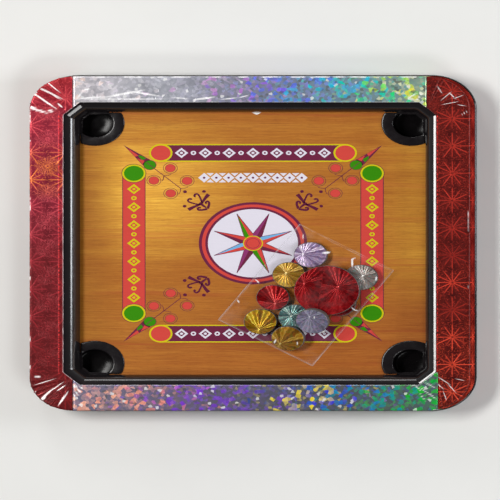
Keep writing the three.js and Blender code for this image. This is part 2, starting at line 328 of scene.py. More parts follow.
class Paint(Nodes):
    """One procedural material."""

    def __init__(self, name, roughness=0.4, metallic=0.0, specular=0.5):
        self.material = bpy.data.materials.new(name)
        self.material.use_nodes = True
        super().__init__(self.material.node_tree)
        self.shader = self.tree.nodes["Principled BSDF"]
        self.set("Roughness", roughness)
        self.set("Metallic", metallic)
        self.set("Specular IOR Level", specular)

    def set(self, name, value):
        """Links or sets one input of the surface shader."""
        self.put(self.shader.inputs[name], value)

    def vector(self, operation, a, b=None, scale=None):
        """The result of a calculation with vectors."""
        made = self.node("ShaderNodeVectorMath", operation=operation)
        self.put(made.inputs[0], a)
        self.put(made.inputs[1], b)
        if scale is not None:
            self.put(made.inputs["Scale"], scale)
        return self.output(made, "Value" if operation == "LENGTH" else "Vector")

    def join(self, x, y, z=0.0):
        """A vector from its three parts."""
        made = self.node("ShaderNodeCombineXYZ")
        for socket, value in zip(made.inputs, (x, y, z)):
            self.put(socket, value)
        return self.output(made, 0)

    def place(self):
        """Where the point is on the object, in millimetres."""
        made = self.node("ShaderNodeTexCoord")
        return self.vector("SCALE", self.output(made, "Object"), scale=1000.0)

    def flat(self):
        """The point's place on the flat paper or face, in millimetres."""
        made = self.node("ShaderNodeUVMap", uv_map="flat")
        return self.vector("SCALE", self.output(made, "UV"), scale=100.0)

    def painted(self, name):
        """A number painted on the vertices."""
        return self.output(self.node("ShaderNodeAttribute", attribute_name=name), "Fac")

    def facing(self, square_on, edge_on):
        """Goes from the first value to the second where the surface is seen edge-on."""
        weight = self.output(self.node("ShaderNodeLayerWeight"), "Facing")
        return self.span(weight, 0.55, 0.8, square_on, edge_on)

    def noise(self, vector, scale, detail=3.0, roughness=0.5):
        """A smooth random value, about 0.5."""
        made = self.node("ShaderNodeTexNoise")
        for name, setting in (("Vector", vector), ("Scale", scale), ("Detail", detail),
                              ("Roughness", roughness)):
            self.put(made.inputs[name], setting)
        return self.output(made, "Fac")

    def cells(self, vector, scale, feature="F1", result="Color"):
        """Angular cells, each with a random colour; or the distance to the nearest cell's edge."""
        made = self.node("ShaderNodeTexVoronoi", feature=feature, voronoi_dimensions="2D")
        self.put(made.inputs["Vector"], vector)
        self.put(made.inputs["Scale"], scale)
        return self.output(made, result)

    def random(self, dimensions, socket, key):
        """A random value from 0 to 1 for each value of the key."""
        made = self.node("ShaderNodeTexWhiteNoise", noise_dimensions=dimensions)
        self.put(made.inputs[socket], key)
        return self.output(made, "Value")

    def bump(self, height, strength, distance_mm):
        """Small relief that follows the height."""
        made = self.node("ShaderNodeBump")
        for name, setting in (("Strength", strength), ("Distance", distance_mm * MM),
                              ("Height", height)):
            self.put(made.inputs[name], setting)
        self.set("Normal", self.output(made, "Normal"))


def linear(red, green, blue):
    """A linear colour from its usual 0 to 255 screen values."""
    def one(value):
        share = value / 255
        return share / 12.92 if share <= 0.04045 else ((share + 0.055) / 1.055) ** 2.4
    return one(red), one(green), one(blue)


def tones(*stops):
    """Stops of a colour ramp, each a position and a colour in 0 to 255 screen values."""
    return [(position, linear(*colour)) for position, *colour in stops]


def greys(*stops):
    """Stops of a grey ramp, each a position and a linear value."""
    return [(position, (grey, grey, grey)) for position, grey in stops]


def warm_greys(*stops):
    """The same, very slightly warm."""
    return [(position, (grey, grey * 0.99, grey * 0.97)) for position, grey in stops]


def black_plastic(name, smooth, rough, specular, depth_shade):
    """Moulded black plastic with fine scratches and a little dust, darker and less shiny far down in
    painted shade.
    """
    paint = Paint(name)
    place = paint.place()
    cloud = paint.noise(place, 0.035, 4.0, 0.6)
    dust = paint.noise(place, 1.9, 2.0, 0.7)
    specks = paint.span(dust, 0.70, 0.80)
    _, _, height = paint.split(place)
    # painted shade: colour and shine fall off from the playing surface to 5 mm under it
    shade = paint.span(height, PLAY_Z - 5.0, PLAY_Z, depth_shade, 1.0)
    paint.set("Specular IOR Level", shade * specular)
    base = paint.mix(cloud, linear(17, 15, 17), linear(30, 26, 28))
    base = paint.mix(1.0, base, paint.join(shade, shade, shade), "MULTIPLY")
    paint.set("Base Color", paint.mix(specks * 0.14, base, linear(160, 155, 155)))
    worn = paint.noise(place, 0.12, 5.0, 0.65)
    paint.set("Roughness", paint.span(worn, 0.3, 0.7, smooth, rough))
    scratches = paint.noise(paint.vector("MULTIPLY", place, (0.05, 0.9, 0.5)), 1.0, 4.0, 0.7)
    paint.bump(scratches + cloud * 2.0, 0.12, 0.1)
    return paint.material


def wood_print():
    """Printed wood: fine straight grain along X, golden, redder towards the near right corner, with a
    painted sheen towards the far left and painted shade along the left wall.
    """
    paint = Paint("printed_wood", roughness=0.36, specular=0.12)
    place = paint.place()
    x, y, _ = paint.split(place)
    sway = paint.noise(place, 0.009, 2.0) * 9.0
    row = y + sway
    long_place = paint.join(x * 0.035, row)
    fine = paint.noise(long_place, 1.15, 6.0, 0.68)
    bands = paint.noise(paint.join(x * 0.012, row), 0.085, 3.0, 0.5)
    fibres = paint.noise(paint.join(x * 0.09, y), 2.4, 3.0, 0.6)
    patches = paint.noise(place, 0.016, 3.0, 0.55)
    tone = paint.ramp(bands, tones((0.25, 178, 108, 42), (0.48, 196, 128, 50), (0.64, 207, 143, 58),
                                   (0.80, 216, 156, 70)))
    patchy = paint.mix(paint.span(patches, 0.35, 0.7, 0.0, 0.55), tone, linear(214, 152, 62))
    grained = paint.mix(paint.span(fine, 0.46, 0.70, 0.0, 0.6), patchy, linear(150, 86, 34))
    lit = paint.mix(paint.span(fine, 0.46, 0.28, 0.0, 0.5), grained, linear(226, 168, 84))
    pored = paint.mix(paint.span(fibres, 0.54, 0.68, 0.0, 0.35), lit, linear(128, 70, 28))
    rust = paint.noise(paint.join(x * 0.022, row, 9.0), 0.16, 4.0, 0.6)
    pored = paint.mix(paint.span(rust, 0.56, 0.70, 0.0, 0.5), pored, linear(186, 98, 52))
    across = x * 0.0032 + y * -0.0046
    warm = paint.span(across, -0.55, 0.75, 0.0, 1.0)
    toned = paint.mix(warm, (0.74, 0.68, 0.53), (0.60, 0.435, 0.46))
    # painted sheen: a lighter, yellower patch towards the far left corner
    from_corner = paint.vector("LENGTH", paint.vector("SUBTRACT", place, (-76.0, 52.0, PLAY_Z)))
    toned = paint.mix(paint.span(from_corner, 80.0, 12.0), toned, (1.24, 1.50, 1.20))
    # painted shade along the left wall, on the wood beside it
    shaded = paint.span(x, -88.0, -114.0, 0.0, 0.9)
    toned = paint.mix(shaded, toned, (0.56, 0.48, 0.36))
    olive = paint.span(x, 80.0, 110.0) * paint.span(y, -60.0, -20.0)
    toned = paint.mix(olive, toned, (0.86, 0.87, 0.67))
    blush = paint.span(y, 92.0, 112.0) * paint.span(patches, 0.3, 0.6)
    toned = paint.mix(blush * 0.6, toned, (0.66, 0.44, 0.52))
    paint.set("Base Color", paint.mix(1.0, pored, toned, "MULTIPLY"))
    paint.set("Roughness", paint.span(fine, 0.3, 0.7, 0.3, 0.44))
    paint.bump(fine, 0.12, 0.05)
    return paint.material


def ink(name, red, green, blue, darker=0.9):
    """Flat printing ink that lets a trace of the paper's grain through."""
    colour = linear(red, green, blue)
    paint = Paint(name, roughness=0.4, specular=0.06)
    place = paint.place()
    x, y, _ = paint.split(place)
    grain = paint.noise(paint.join(x * 0.06, y), 0.9, 4.0, 0.6)
    dots = paint.noise(place, 2.2, 2.0, 0.6)
    shade = (grain + dots) * 0.5
    dark = tuple(c * darker for c in colour)
    paint.set("Base Color", paint.mix(paint.span(shade, 0.35, 0.65), dark, colour))
    paint.bump(dots, 0.06, 0.05)
    return paint.material


BURST_PITCH = 24.8


def bursts(paint, flat, pitch, sectors):
    """For the middle of the nearest lattice square: distance, turn in sectors, and its number."""
    cell = paint.vector("SCALE", flat, scale=1 / pitch)
    inside = paint.vector("SUBTRACT", paint.vector("FRACTION", cell), (0.5, 0.5, 0.0))
    x, y, _ = paint.split(paint.vector("SCALE", inside, scale=pitch))
    away = paint.vector("LENGTH", paint.join(x, y))
    turn = paint.math("ARCTAN2", y, x) * (sectors / (2 * math.pi))
    return away, turn + 100.5, paint.vector("FLOOR", cell)


def ray_lines(paint, away, turn, cell, sectors, reach, width):
    """Thin tapering rays at the middle of each sector, every one of its own strength."""
    between = abs(paint.math("FRACT", turn) - 0.5)
    off = between * (2 * math.pi / sectors) * away
    sector = paint.join(0.0, 0.0, paint.math("FLOOR", turn))
    chance = paint.random("3D", "Vector", paint.vector("ADD", cell, sector))
    strength = paint.span(chance, 0.0, 1.0, 0.35, 1.0)
    line = paint.span(off, width, width * 0.4)
    stretched = away / paint.span(chance, 0.0, 1.0, 0.72, 1.0)
    fade = paint.span(stretched, reach, reach * 0.8) * paint.span(away, 0.3, 1.4)
    return line * fade * strength


def web_lines(paint, away, turn, step, width, reach):
    """Zigzag rings round the middle, like a spider's web."""
    tooth = paint.math("PINGPONG", turn, 0.5)
    ring = away * paint.math("MULTIPLY_ADD", tooth, 0.9, 0.75)
    near = abs(paint.math("FRACT", ring / step) - 0.5)
    return paint.span(near, width, width * 0.4) * paint.span(away, reach, reach * 0.8)


def red_foil(name, offset, dark, light, rays, sheen_at, webs, line_at):
    """Crimson metallised paper with a lattice of holographic starbursts, with painted reflection along
    the strip, painted shade on the wedges and a painted sheen.
    """
    paint = Paint(name)
    paint.set("Metallic", paint.facing(0.25, 0.0))
    paint.set("Specular IOR Level", paint.facing(0.15, 0.0))
    flat = paint.flat()
    x, y, _ = paint.split(flat)
    shifted = paint.vector("ADD", flat, (*offset, 0.0))
    away, turn, cell = bursts(paint, shifted, BURST_PITCH, 12)
    lines = ray_lines(paint, away, turn, cell, 12, 13.5, 0.5)
    half = BURST_PITCH / 2
    off_away, off_turn, off_cell = bursts(paint, paint.vector("ADD", shifted, (half, half, 0.0)),
                                          BURST_PITCH, 20)
    small = ray_lines(paint, off_away, off_turn, off_cell, 20, 10.0, 0.2)
    zigzag = web_lines(paint, off_away, off_turn, 2.3, 0.11, 9.5)
    # painted reflection: the grounds and the rays change along the strip
    along = paint.span(y, -150.0, 150.0)
    # painted shade: each wedge goes from dark to light round its burst
    painted_facet_shade = paint.math("FRACT", turn + 0.5) * paint.span(away, 12.4, 6.0, 0.0, 0.55)
    cloud = paint.span(paint.noise(flat, 0.12, 4.0, 0.65), 0.3, 0.7, 0.0, 0.3)
    ground = paint.mix(paint.math("ADD", painted_facet_shade, cloud, clamp=True),
                       paint.ramp(along, dark), paint.ramp(along, light))
    veins = paint.cells(flat, 0.42, "DISTANCE_TO_EDGE", "Distance")
    patchy = paint.span(paint.noise(flat, 0.5, 2.0), 0.48, 0.62, 0.0, 0.55)
    vein = paint.span(veins, 0.10, 0.03) * patchy
    # painted sheen: a band of brighter, more orange rays at the given height
    painted_sheen = paint.span(abs(y - sheen_at), 27.0, 8.0)
    ray_colour = paint.mix(painted_sheen, paint.ramp(along, rays), linear(255, 138, 66))
    veined = paint.mix(vein, ground, ray_colour)
    finer = paint.math("MAXIMUM", small, zigzag) * webs
    seen = paint.math("MAXIMUM", lines, finer) * paint.math("MULTIPLY_ADD", painted_sheen, 0.15, 0.85)
    lined = paint.mix(seen, veined, ray_colour)
    from_line = abs(x - line_at)
    dashes = paint.span(paint.noise(paint.join(0.0, y), 0.55, 2.0), 0.46, 0.6)
    crease = paint.span(from_line, 0.45, 0.15) * dashes
    straight = paint.span(abs(y), 121.0, 116.0)
    creased = paint.mix(crease * straight, lined, linear(240, 54, 50))
    # painted white glare and glints, with scuffs and rubbed folds, from the painted number
    paint.set("Base Color", paint.mix(paint.painted("wear_and_glare"), creased, linear(250, 240, 240)))
    paint.set("Roughness", paint.span(seen, 0.0, 1.0, 0.32, 0.16))
    crinkle = paint.noise(flat, 0.35, 5.0, 0.7)
    paint.bump(crinkle + (seen * 0.8 + painted_facet_shade * 0.5), 0.3, 0.12)
    return paint.material


def broken_glass(name, grounds, hues, shares, spots):
    """Grey metallised paper strewn with angular cells; the ground's brightness and the cells' hue drift
    along the strip as painted reflection, and white specks are painted glints.
    """
    paint = Paint(name)
    paint.set("Metallic", paint.facing(0.3, 0.05))
    paint.set("Specular IOR Level", paint.facing(0.2, 0.05))
    flat = paint.flat()
    x, _, _ = paint.split(flat)
    along = paint.span(x, -130.0, 130.0)
    # painted reflection: the ground's brightness and tint change along the strip
    ground = paint.ramp(along, grounds)
    cloud = paint.noise(flat, 0.06, 4.0, 0.6)
    ground = paint.mix(paint.span(cloud, 0.35, 0.7, 0.0, 0.4), ground, (0.10, 0.10, 0.12))
    drift, rank, strength = paint.split(paint.cells(flat, 0.31))
    shifted = paint.vector("ADD", flat, (37.0, 11.0, 0.0))
    small_drift, small_strength, small_rank = paint.split(paint.cells(shifted, 0.46))
    share, _, _ = paint.split(paint.ramp(along, shares))
    # painted reflection: the cells' hue drifts along the strip
    hue = paint.ramp(along + (drift - 0.5) * 0.2, hues)
    other = paint.ramp(along + (small_drift - 0.5) * 0.4, hues)
    faint = small_strength * small_strength * share
    speckled = paint.mix(faint * 0.6, ground, other)
    chosen = paint.math("LESS_THAN", rank, share * 0.45)
    lit = chosen * paint.span(strength, 0.0, 1.0, 0.5, 1.0)
    coloured = paint.mix(lit, speckled, hue)
    spot = paint.math("LESS_THAN", small_rank, spots) * share
    spotted = paint.mix(spot * 0.7, coloured, linear(88, 92, 84))
    # painted glints: a few white specks
    glint_specks = paint.math("GREATER_THAN", small_rank, 0.975) * 0.6
    bright = paint.mix(glint_specks, spotted, (0.9, 0.9, 0.9))
    # painted white glare and glints, with scuffs and rubbed folds, from the painted number
    paint.set("Base Color", paint.mix(paint.painted("wear_and_glare"), bright, (0.95, 0.94, 0.96)))
    paint.set("Roughness", paint.span(small_strength, 0.0, 1.0, 0.16, 0.34))
    paint.bump(strength * 0.8 + small_rank, 0.16, 0.12)
    return paint.material


def hardboard():
    """Bare brown board with the weave of a press screen on its underside."""
    paint = Paint("hardboard", roughness=0.82)
    place = paint.place()
    rough = paint.noise(place, 0.9, 4.0, 0.7)
    x, y, _ = paint.split(place)
    weave = paint.math("SINE", x * 4.2) * paint.math("SINE", y * 4.2)
    fibres = paint.noise(paint.vector("MULTIPLY", place, (0.3, 1.6, 1.0)), 1.3, 5.0, 0.75)
    tone = paint.mix(fibres, linear(88, 58, 36), linear(148, 106, 70))
    blotch = paint.noise(place, 0.03, 3.0)
    blotched = paint.span(blotch, 0.35, 0.7, 0.0, 0.5)
    paint.set("Base Color", paint.mix(blotched, tone, linear(96, 66, 44)))
    paint.bump(weave * 0.5 + rough, 0.5, 0.25)
    return paint.material


def zinc():
    """Zinc plate, unevenly dulled."""
    paint = Paint("zinc_plate", metallic=1.0)
    place = paint.place()
    stain = paint.noise(place, 0.8, 4.0, 0.6)
    paint.set("Base Color", paint.mix(stain, linear(150, 150, 146), linear(205, 203, 192)))
    paint.set("Roughness", paint.span(stain, 0.3, 0.7, 0.24, 0.45))
    paint.bump(paint.noise(place, 3.0, 3.0), 0.2, 0.05)
    return paint.material


def disc_plastic():
    """Dull grey plastic of the discs' edges."""
    paint = Paint("disc_plastic", roughness=0.42)
    place = paint.place()
    mottle = paint.noise(place, 0.5, 4.0, 0.6)
    paint.set("Base Color", paint.mix(mottle, linear(62, 60, 60), linear(92, 90, 88)))
    paint.set("Roughness", paint.span(mottle, 0.3, 0.7, 0.34, 0.5))
    paint.bump(paint.noise(place, 2.2, 3.0, 0.7), 0.2, 0.06)
    return paint.material


def embossed_foil(name, shades, rays, tints):
    """Metallised paper stamped with a starburst of wedges and thin folds, the wedges and crumples in
    painted shade and the folds with painted highlights.
    """
    paint = Paint(name, metallic=0.4, specular=0.08)
    flat = paint.flat()
    x, y, _ = paint.split(flat)
    away = paint.vector("LENGTH", paint.join(x, y))
    bent = paint.noise(flat, 0.22, 3.0, 0.6)
    turn = paint.math("ARCTAN2", y, x) * (rays / (2 * math.pi))
    turn = turn + bent * 1.6 + 100.0
    chance = paint.random("1D", "W", paint.math("FLOOR", turn))
    across = abs(paint.math("FRACT", turn) - 0.5)
    # painted shade: each ray's wedge and the crumples are lighter or darker
    shade = chance * 0.6 + across * 0.5
    crumple = paint.noise(flat, 0.34, 5.0, 0.7)
    shade = shade + (crumple - 0.5) * 0.3
    thin = paint.math("PINGPONG", turn * 3.0, 0.5)
    shade = shade + (thin - 0.25) * 0.5
    colour = paint.ramp(shade, shades)
    for offset, tint in enumerate(tints):
        streak = paint.join(turn * 1.3, away * 0.35, 7.0 * offset)
        patch = paint.span(paint.noise(streak, 1.0, 1.0, 0.4), 0.53, 0.58, 0.0, 0.3)
        colour = paint.mix(patch, colour, tint)
    # painted highlights along the folds between the rays
    ridge_highlight = paint.span((0.5 - across) * away, 0.20, 0.06)
    seen = ridge_highlight * paint.span(chance, 0.3, 0.6, 0.0, 0.9)
    ridge_highlighted = paint.mix(seen, colour, shades[-1][1])
    paint.set("Base Color", paint.mix(paint.span(away, 0.9, 0.2), ridge_highlighted, shades[-1][1]))
    paint.set("Roughness", paint.span(chance, 0.0, 1.0, 0.16, 0.36))
    paint.bump(crumple + across * 0.8, 0.3, 0.15)
    return paint.material


def clear_film():
    """Clear film: mostly see-through, with pale welded edges, faint haze, a painted reflection where it
    is seen edge-on, and white crease marks that are painted glints.
    """
    paint = Paint("clear_film", roughness=0.14, specular=0.18)
    flat = paint.flat()
    x, y, _ = paint.split(flat)
    from_side = POUCH_WIDTH / 2 - abs(y)
    from_end = x + POUCH_LENGTH / 2
    from_mouth = POUCH_LENGTH / 2 - x
    from_edge = paint.math("MINIMUM", from_side, paint.math("MINIMUM", from_end, from_mouth))
    weld = paint.span(paint.math("MINIMUM", from_side, from_end), WELD, WELD * 0.7, 0.0, 0.04)
    uneven = paint.span(paint.noise(flat, 0.06, 3.0, 0.6), 0.42, 0.62, 0.03, 0.24)
    rim = paint.span(from_edge, 0.5, 0.2) * uneven
    crease = paint.noise(flat, 0.05, 5.0, 0.7)
    haze = paint.span(crease, 0.45, 0.75, 0.0, 0.03)
    # painted reflection: the film is whiter where it is seen edge-on
    seen = haze + weld + rim + paint.facing(0.0, 0.22)
    # painted glints: white crease marks
    marks = paint.painted("crease") * 0.85
    paint.set("Base Color", (0.93, 0.94, 0.95, 1.0))
    paint.set("Alpha", paint.math("ADD", seen, marks, clamp=True))
    paint.bump(paint.noise(flat, 0.2, 4.0, 0.6), 0.4, 0.3)
    return paint.material


def white_paper():
    """Bare paper where the print is torn off."""
    paint = Paint("white_paper", roughness=0.7)
    place = paint.place()
    fibre = paint.noise(place, 1.5, 4.0, 0.7)
    paint.set("Base Color", paint.mix(fibre, linear(205, 203, 198), linear(244, 243, 240)))
    paint.bump(fibre, 0.3, 0.08)
    return paint.material


BLACK = black_plastic("glossy_black_plastic", smooth=0.06, rough=0.17, specular=0.5, depth_shade=1.0)
# Painted shade darkens the cups far down inside.
CUP_BLACK = black_plastic("cup_black_plastic", smooth=0.12, rough=0.26, specular=0.34, depth_shade=0.32)
WOOD = wood_print()
# The red strips' ramps run along the strip and carry painted reflection.
RED_LEFT = red_foil(
    "red_foil_left", offset=(15.0, 4.1), sheen_at=66.0, webs=0.75, line_at=-131.2,
    dark=tones((0.00, 74, 9, 12), (0.45, 84, 12, 18), (0.72, 100, 15, 34), (0.90, 110, 18, 38),
               (1.00, 126, 20, 28)),
    light=tones((0.00, 112, 24, 26), (0.45, 132, 32, 40), (0.72, 168, 40, 66), (1.00, 184, 46, 58)),
    rays=tones((0.00, 150, 40, 42), (0.45, 178, 54, 64), (0.70, 240, 96, 108), (1.00, 226, 80, 84)))
RED_RIGHT = red_foil(
    "red_foil_right", offset=(-127.2, -1.9), sheen_at=190.0, webs=0.3, line_at=129.4,
    dark=tones((0.00, 56, 8, 7), (1.00, 62, 9, 8)),
    light=tones((0.00, 120, 31, 26), (1.00, 130, 33, 28)),
    rays=tones((0.00, 255, 92, 64), (0.22, 250, 84, 58), (0.30, 170, 48, 38), (0.38, 238, 74, 54),
               (0.46, 168, 46, 38), (0.66, 214, 64, 50), (1.00, 196, 58, 46)))
# The silver strips' grounds and hues run along the strip and carry painted reflection.
SILVER_FAR = broken_glass(
    "silver_foil_far", spots=0.14,
    grounds=tones((0.00, 206, 200, 206), (0.25, 180, 182, 192), (0.50, 134, 136, 156),
                  (0.75, 122, 150, 170), (1.00, 140, 168, 146)),
    hues=tones((0.00, 240, 214, 204), (0.20, 214, 208, 216), (0.38, 200, 130, 206),
               (0.50, 122, 100, 226), (0.62, 90, 126, 226), (0.74, 30, 190, 214),
               (0.86, 20, 222, 120), (0.96, 246, 232, 30), (1.00, 250, 246, 190)),
    shares=greys((0.00, 0.35), (0.15, 0.12), (0.36, 0.14), (0.52, 0.62), (1.00, 1.0)))
SILVER_NEAR = broken_glass(
    "silver_foil_near", spots=0.08,
    grounds=tones((0.00, 124, 120, 148), (0.35, 108, 100, 122), (0.65, 84, 86, 98),
                  (1.00, 84, 98, 104)),
    hues=tones((0.00, 252, 186, 156), (0.24, 236, 142, 128), (0.32, 128, 60, 214),
               (0.52, 112, 74, 176), (0.58, 60, 80, 150), (0.64, 244, 220, 40),
               (0.70, 50, 50, 224), (0.80, 20, 150, 170), (0.90, 20, 170, 70), (1.00, 10, 190, 30)),
    shares=greys((0.00, 0.72), (1.00, 0.78)))
HARDBOARD = hardboard()
ZINC = zinc()
DISC_PLASTIC = disc_plastic()
FILM = clear_film()

INKS = {
    "purple": ink("ink_purple", 104, 34, 62),
    "red": ink("ink_red", 200, 68, 60),
    "yellow": ink("ink_yellow", 200, 186, 16),
    "green": ink("ink_green", 52, 132, 3),
    "white": ink("ink_white", 212, 208, 220, darker=0.95),
    "blue": ink("ink_light_blue", 110, 168, 212),
    "lilac": ink("ink_lilac", 134, 50, 104),
    "dark": ink("ink_dark_purple", 90, 26, 54),
    "paper": white_paper(),
}


# ------------------------------------------------------------------ rings round the board

CORNER_STEPS = 16
WALL_STEPS = 22
LEDGE_FALL = 0.9  # the ledge slopes down a little towards the playing surface
LEDGE_END = 4  # step of the convex wall at which the ledge runs into it


def rounded_ring(half, radius, z):
    """A square ring with round corners; every ring has the same number of points."""
    ring = []
    inner = half - radius
    for quarter, (sx, sy) in enumerate(((1, 1), (-1, 1), (-1, -1), (1, -1))):
        for k in range(CORNER_STEPS + 1):
            angle = math.pi / 2 * (quarter + k / CORNER_STEPS)
            ring.append((*polar(radius, angle, sx * inner, sy * inner), z))
    return ring


def cut_leg(half):
    """Leg of the cut-off corner of the inner wall at this half width."""
    return RIM_CHAMFER - (2 - math.sqrt(2)) * (RIM_INNER_HALF - half)


def cut_ring(half, z, soft=3.0):
    """The same for a square ring whose corners are cut off at 45 degrees and slightly softened."""
    ring = []
    leg = cut_leg(half)
    eighth = math.pi / 8
    tangent = soft * math.tan(eighth)
    steps = CORNER_STEPS // 2
    for quarter in range(4):
        turn = math.pi / 2 * quarter
        ends = ((half, half - leg), (half - leg, half))
        for index, (x, y) in enumerate(ends):
            start = math.pi / 4 * index
            first = (x + tangent * math.sin(start), y - tangent * math.cos(start))
            centre = (first[0] - soft * math.cos(start), first[1] - soft * math.sin(start))
            count = steps if index == 0 else steps + 1
            for k in range(count):
                share = k / (steps - 1) if index == 0 else k / steps
                point = polar(soft, start + math.pi / 4 * share, *centre)
                ring.append((*rotated(*point, turn), z))
    return ring


def frame_rings():
    """The frame's section, going up the outside, over the rim, down the inner wall and back."""
    def side(half, z):
        return rounded_ring(half, SIDE_RADIUS - (SIDE_HALF - half), z)

    top = FRAME_TOP
    rings = [
        side(BOARD_HALF - 0.5, 0.0),
        side(BOARD_HALF - 0.15, 0.15),
        side(BOARD_HALF, 0.5),
        side(BOARD_HALF, LIP_HEIGHT - 0.7),
        side(BOARD_HALF - 0.2, LIP_HEIGHT - 0.25),
        side(BOARD_HALF - 0.6, LIP_HEIGHT),
        side(SIDE_HALF + 0.1, LIP_HEIGHT + 0.05),
        side(SIDE_HALF, LIP_HEIGHT + 0.3),
        side(SIDE_HALF, top - 0.8),
        side(SIDE_HALF - 0.12, top - 0.4),
        side(SIDE_HALF - 0.4, top - 0.12),
        side(SIDE_HALF - 0.8, top),
        cut_ring(RIM_INNER_HALF + 1.0, top),
        cut_ring(RIM_INNER_HALF, top),
        cut_ring(RIM_INNER_HALF - 0.06, top - 0.012),
        cut_ring(RIM_INNER_HALF - 1.6, top - 0.32),
        cut_ring(RIM_INNER_HALF - 1.66, top - 0.34),
    ]
    ledge_half = RIM_INNER_HALF - LEDGE
    reach = ledge_half - WALL_FOOT_HALF
    drop = top - PLAY_Z

    def wall(inset, k):
        angle = math.pi / 2 * k / WALL_STEPS
        across = (reach - inset) * math.sin(angle)
        up = (drop - inset - LEDGE_FALL) * math.cos(angle)
        return cut_ring(ledge_half - across, PLAY_Z + up)

    rings += [wall(0.0, k) for k in range(LEDGE_END, WALL_STEPS + 1)]
    rings += [wall(WALL_THICKNESS, k) for k in range(WALL_STEPS, -1, -1)]
    rings += [
        cut_ring(RIM_INNER_HALF + 1.7, top - WALL_THICKNESS),
        side(SIDE_HALF - SHELL - 0.6, top - SHELL),
        side(SIDE_HALF - SHELL, top - SHELL - 0.6),
        side(SIDE_HALF - SHELL, 0.4),
        side(SIDE_HALF - SHELL + 0.4, 0.0),
    ]
    return rings


SCREW_PLACES = [(sx * a, sy * b)
                for a, b in ((SCREW_SPREAD, SCREW_LINE), (SCREW_LINE, SCREW_SPREAD))
                for sx in (-1, 1) for sy in (-1, 1)]


def boss(x, y):
    """A screw boss with its pilot hole, hanging under the rim."""
    low = PANEL_TOP + 0.05
    high = FRAME_TOP - SHELL / 2
    hole_end = high - 2.0
    profile = [
        (0.0, high), (BOSS_RADIUS, high), (BOSS_RADIUS, low + 0.3), (BOSS_RADIUS - 0.3, low),
        (PILOT_RADIUS + 0.2, low), (PILOT_RADIUS, low + 0.2), (PILOT_RADIUS, hole_end), (0.0, hole_end),
    ]
    return turned(profile, 32, (x, y))


def make_frame():
    """The moulded ring and its eight screw bosses."""
    rings = frame_rings()
    columns = len(rings[0])
    shell = ([p for ring in rings for p in ring],
             grid_faces(len(rings), columns, closed_rows=True, closed_columns=True))
    points, faces = joined([shell] + [boss(x, y) for x, y in SCREW_PLACES])
    obj = mesh_object("frame_moulding", points, faces, [BLACK], "board", "black_plastic", ["frame"])
    keep_creases(obj, 40)


make_frame()


# ------------------------------------------------------------------ foil strips

FOIL_THICKNESS = 0.14
FOIL_LIFT = 0.08  # glue between the plastic and the foil
FOIL_TOP = FRAME_TOP + FOIL_LIFT
EDGE_RADIUS = 0.8
TOP_STEPS = 44
BEND_STEPS = 4
SIDE_STEPS = 16
RIB_SPACING = 1.2
FAN_RIBS = 120
CREASE_FROM_EDGE = 2.8  # a faint fold runs along the rim, this far from its inner edge
CREASE_HALF_WIDTH = 0.5

# Painted white glare and glints, and rubbed folds: place, length, width, and turn in degrees
RED_LEFT_STREAKS = [
    (-139.0, 137.8, 25.0, 1.8, -33), (-147.0, 143.0, 9.0, 3.4, -38), (-141.5, 130.0, 23.0, 1.5, -42),
    (-149.0, 137.0, 7.0, 2.6, -50), (-145.5, 121.0, 15.0, 1.7, -22), (-150.0, 123.6, 7.0, 2.2, -12),
    (-136.0, 143.0, 17.0, 0.9, -47), (-134.0, 134.0, 11.0, 1.2, -40), (-137.0, 120.4, 4.0, 2.0, -30),
    (-130.5, 125.5, 5.0, 1.3, -50), (-139.5, -136.5, 15.0, 1.6, 49), (-143.0, -141.5, 8.0, 2.4, 45),
    (-134.5, -131.5, 17.0, 0.8, 43), (-148.5, -135.8, 5.0, 1.3, 50), (-128.2, -140.5, 14.0, 1.5, 62),
    (-129.5, -131.0, 8.0, 1.0, 40), (-147.0, -121.0, 9.0, 0.7, 8), (-141.0, -125.5, 16.0, 0.7, 22),
]
RED_RIGHT_STREAKS = [
    (135.5, 134.0, 11.0, 0.5, 48), (139.5, 134.5, 9.0, 0.5, -52), (143.5, 133.0, 8.0, 0.5, 25),
    (138.0, 127.5, 12.0, 0.45, 14), (146.0, 125.5, 6.0, 0.45, -12), (131.0, 139.5, 8.0, 0.5, -62),
    (148.0, 118.5, 5.0, 0.4, 38), (134.0, -124.5, 12.0, 0.5, -40), (139.5, -131.5, 10.0, 0.5, -55),
    (145.0, -123.5, 7.0, 0.4, -15), (134.5, -138.0, 9.0, 0.45, -74), (131.0, -129.0, 9.0, 0.5, -50),
    (151.0, 20.0, 26.0, 1.0, 90), (151.0, 27.0, 6.0, 1.6, 90), (151.2, -39.0, 7.0, 1.2, 90),
]
SILVER_FAR_STREAKS = [
    (-88.0, 131.2, 66.0, 1.1, 0), (-87.0, 135.8, 30.0, 2.2, 14), (-73.0, 136.2, 24.0, 1.4, -12),
    (-31.0, 131.8, 15.0, 2.0, 10), (-108.0, 132.5, 22.0, 1.2, 4), (-117.0, 134.5, 6.0, 1.6, 60),
    (-14.0, 131.6, 12.0, 1.0, 8), (-48.0, 132.0, 12.0, 1.0, -6), (-4.0, 133.5, 8.0, 0.9, 20),
    (-112.0, 140.0, 5.0, 1.4, 8), (116.5, 132.5, 10.0, 0.9, 62), (112.0, 134.0, 7.0, 1.0, 40),
]
SILVER_NEAR_STREAKS = [
    (-119.5, -136.0, 17.0, 0.9, 66), (-116.5, -133.5, 11.0, 0.7, 70), (-120.0, -129.5, 4.0, 2.4, 20),
    (116.0, -131.0, 8.0, 0.7, -50), (121.0, -134.0, 12.0, 0.6, -48), (124.5, -128.5, 9.0, 0.7, -35),
    (119.0, -139.0, 9.0, 0.5, -62), (113.5, -128.0, 5.0, 0.7, 35), (126.5, -139.0, 8.0, 0.5, -52),
]


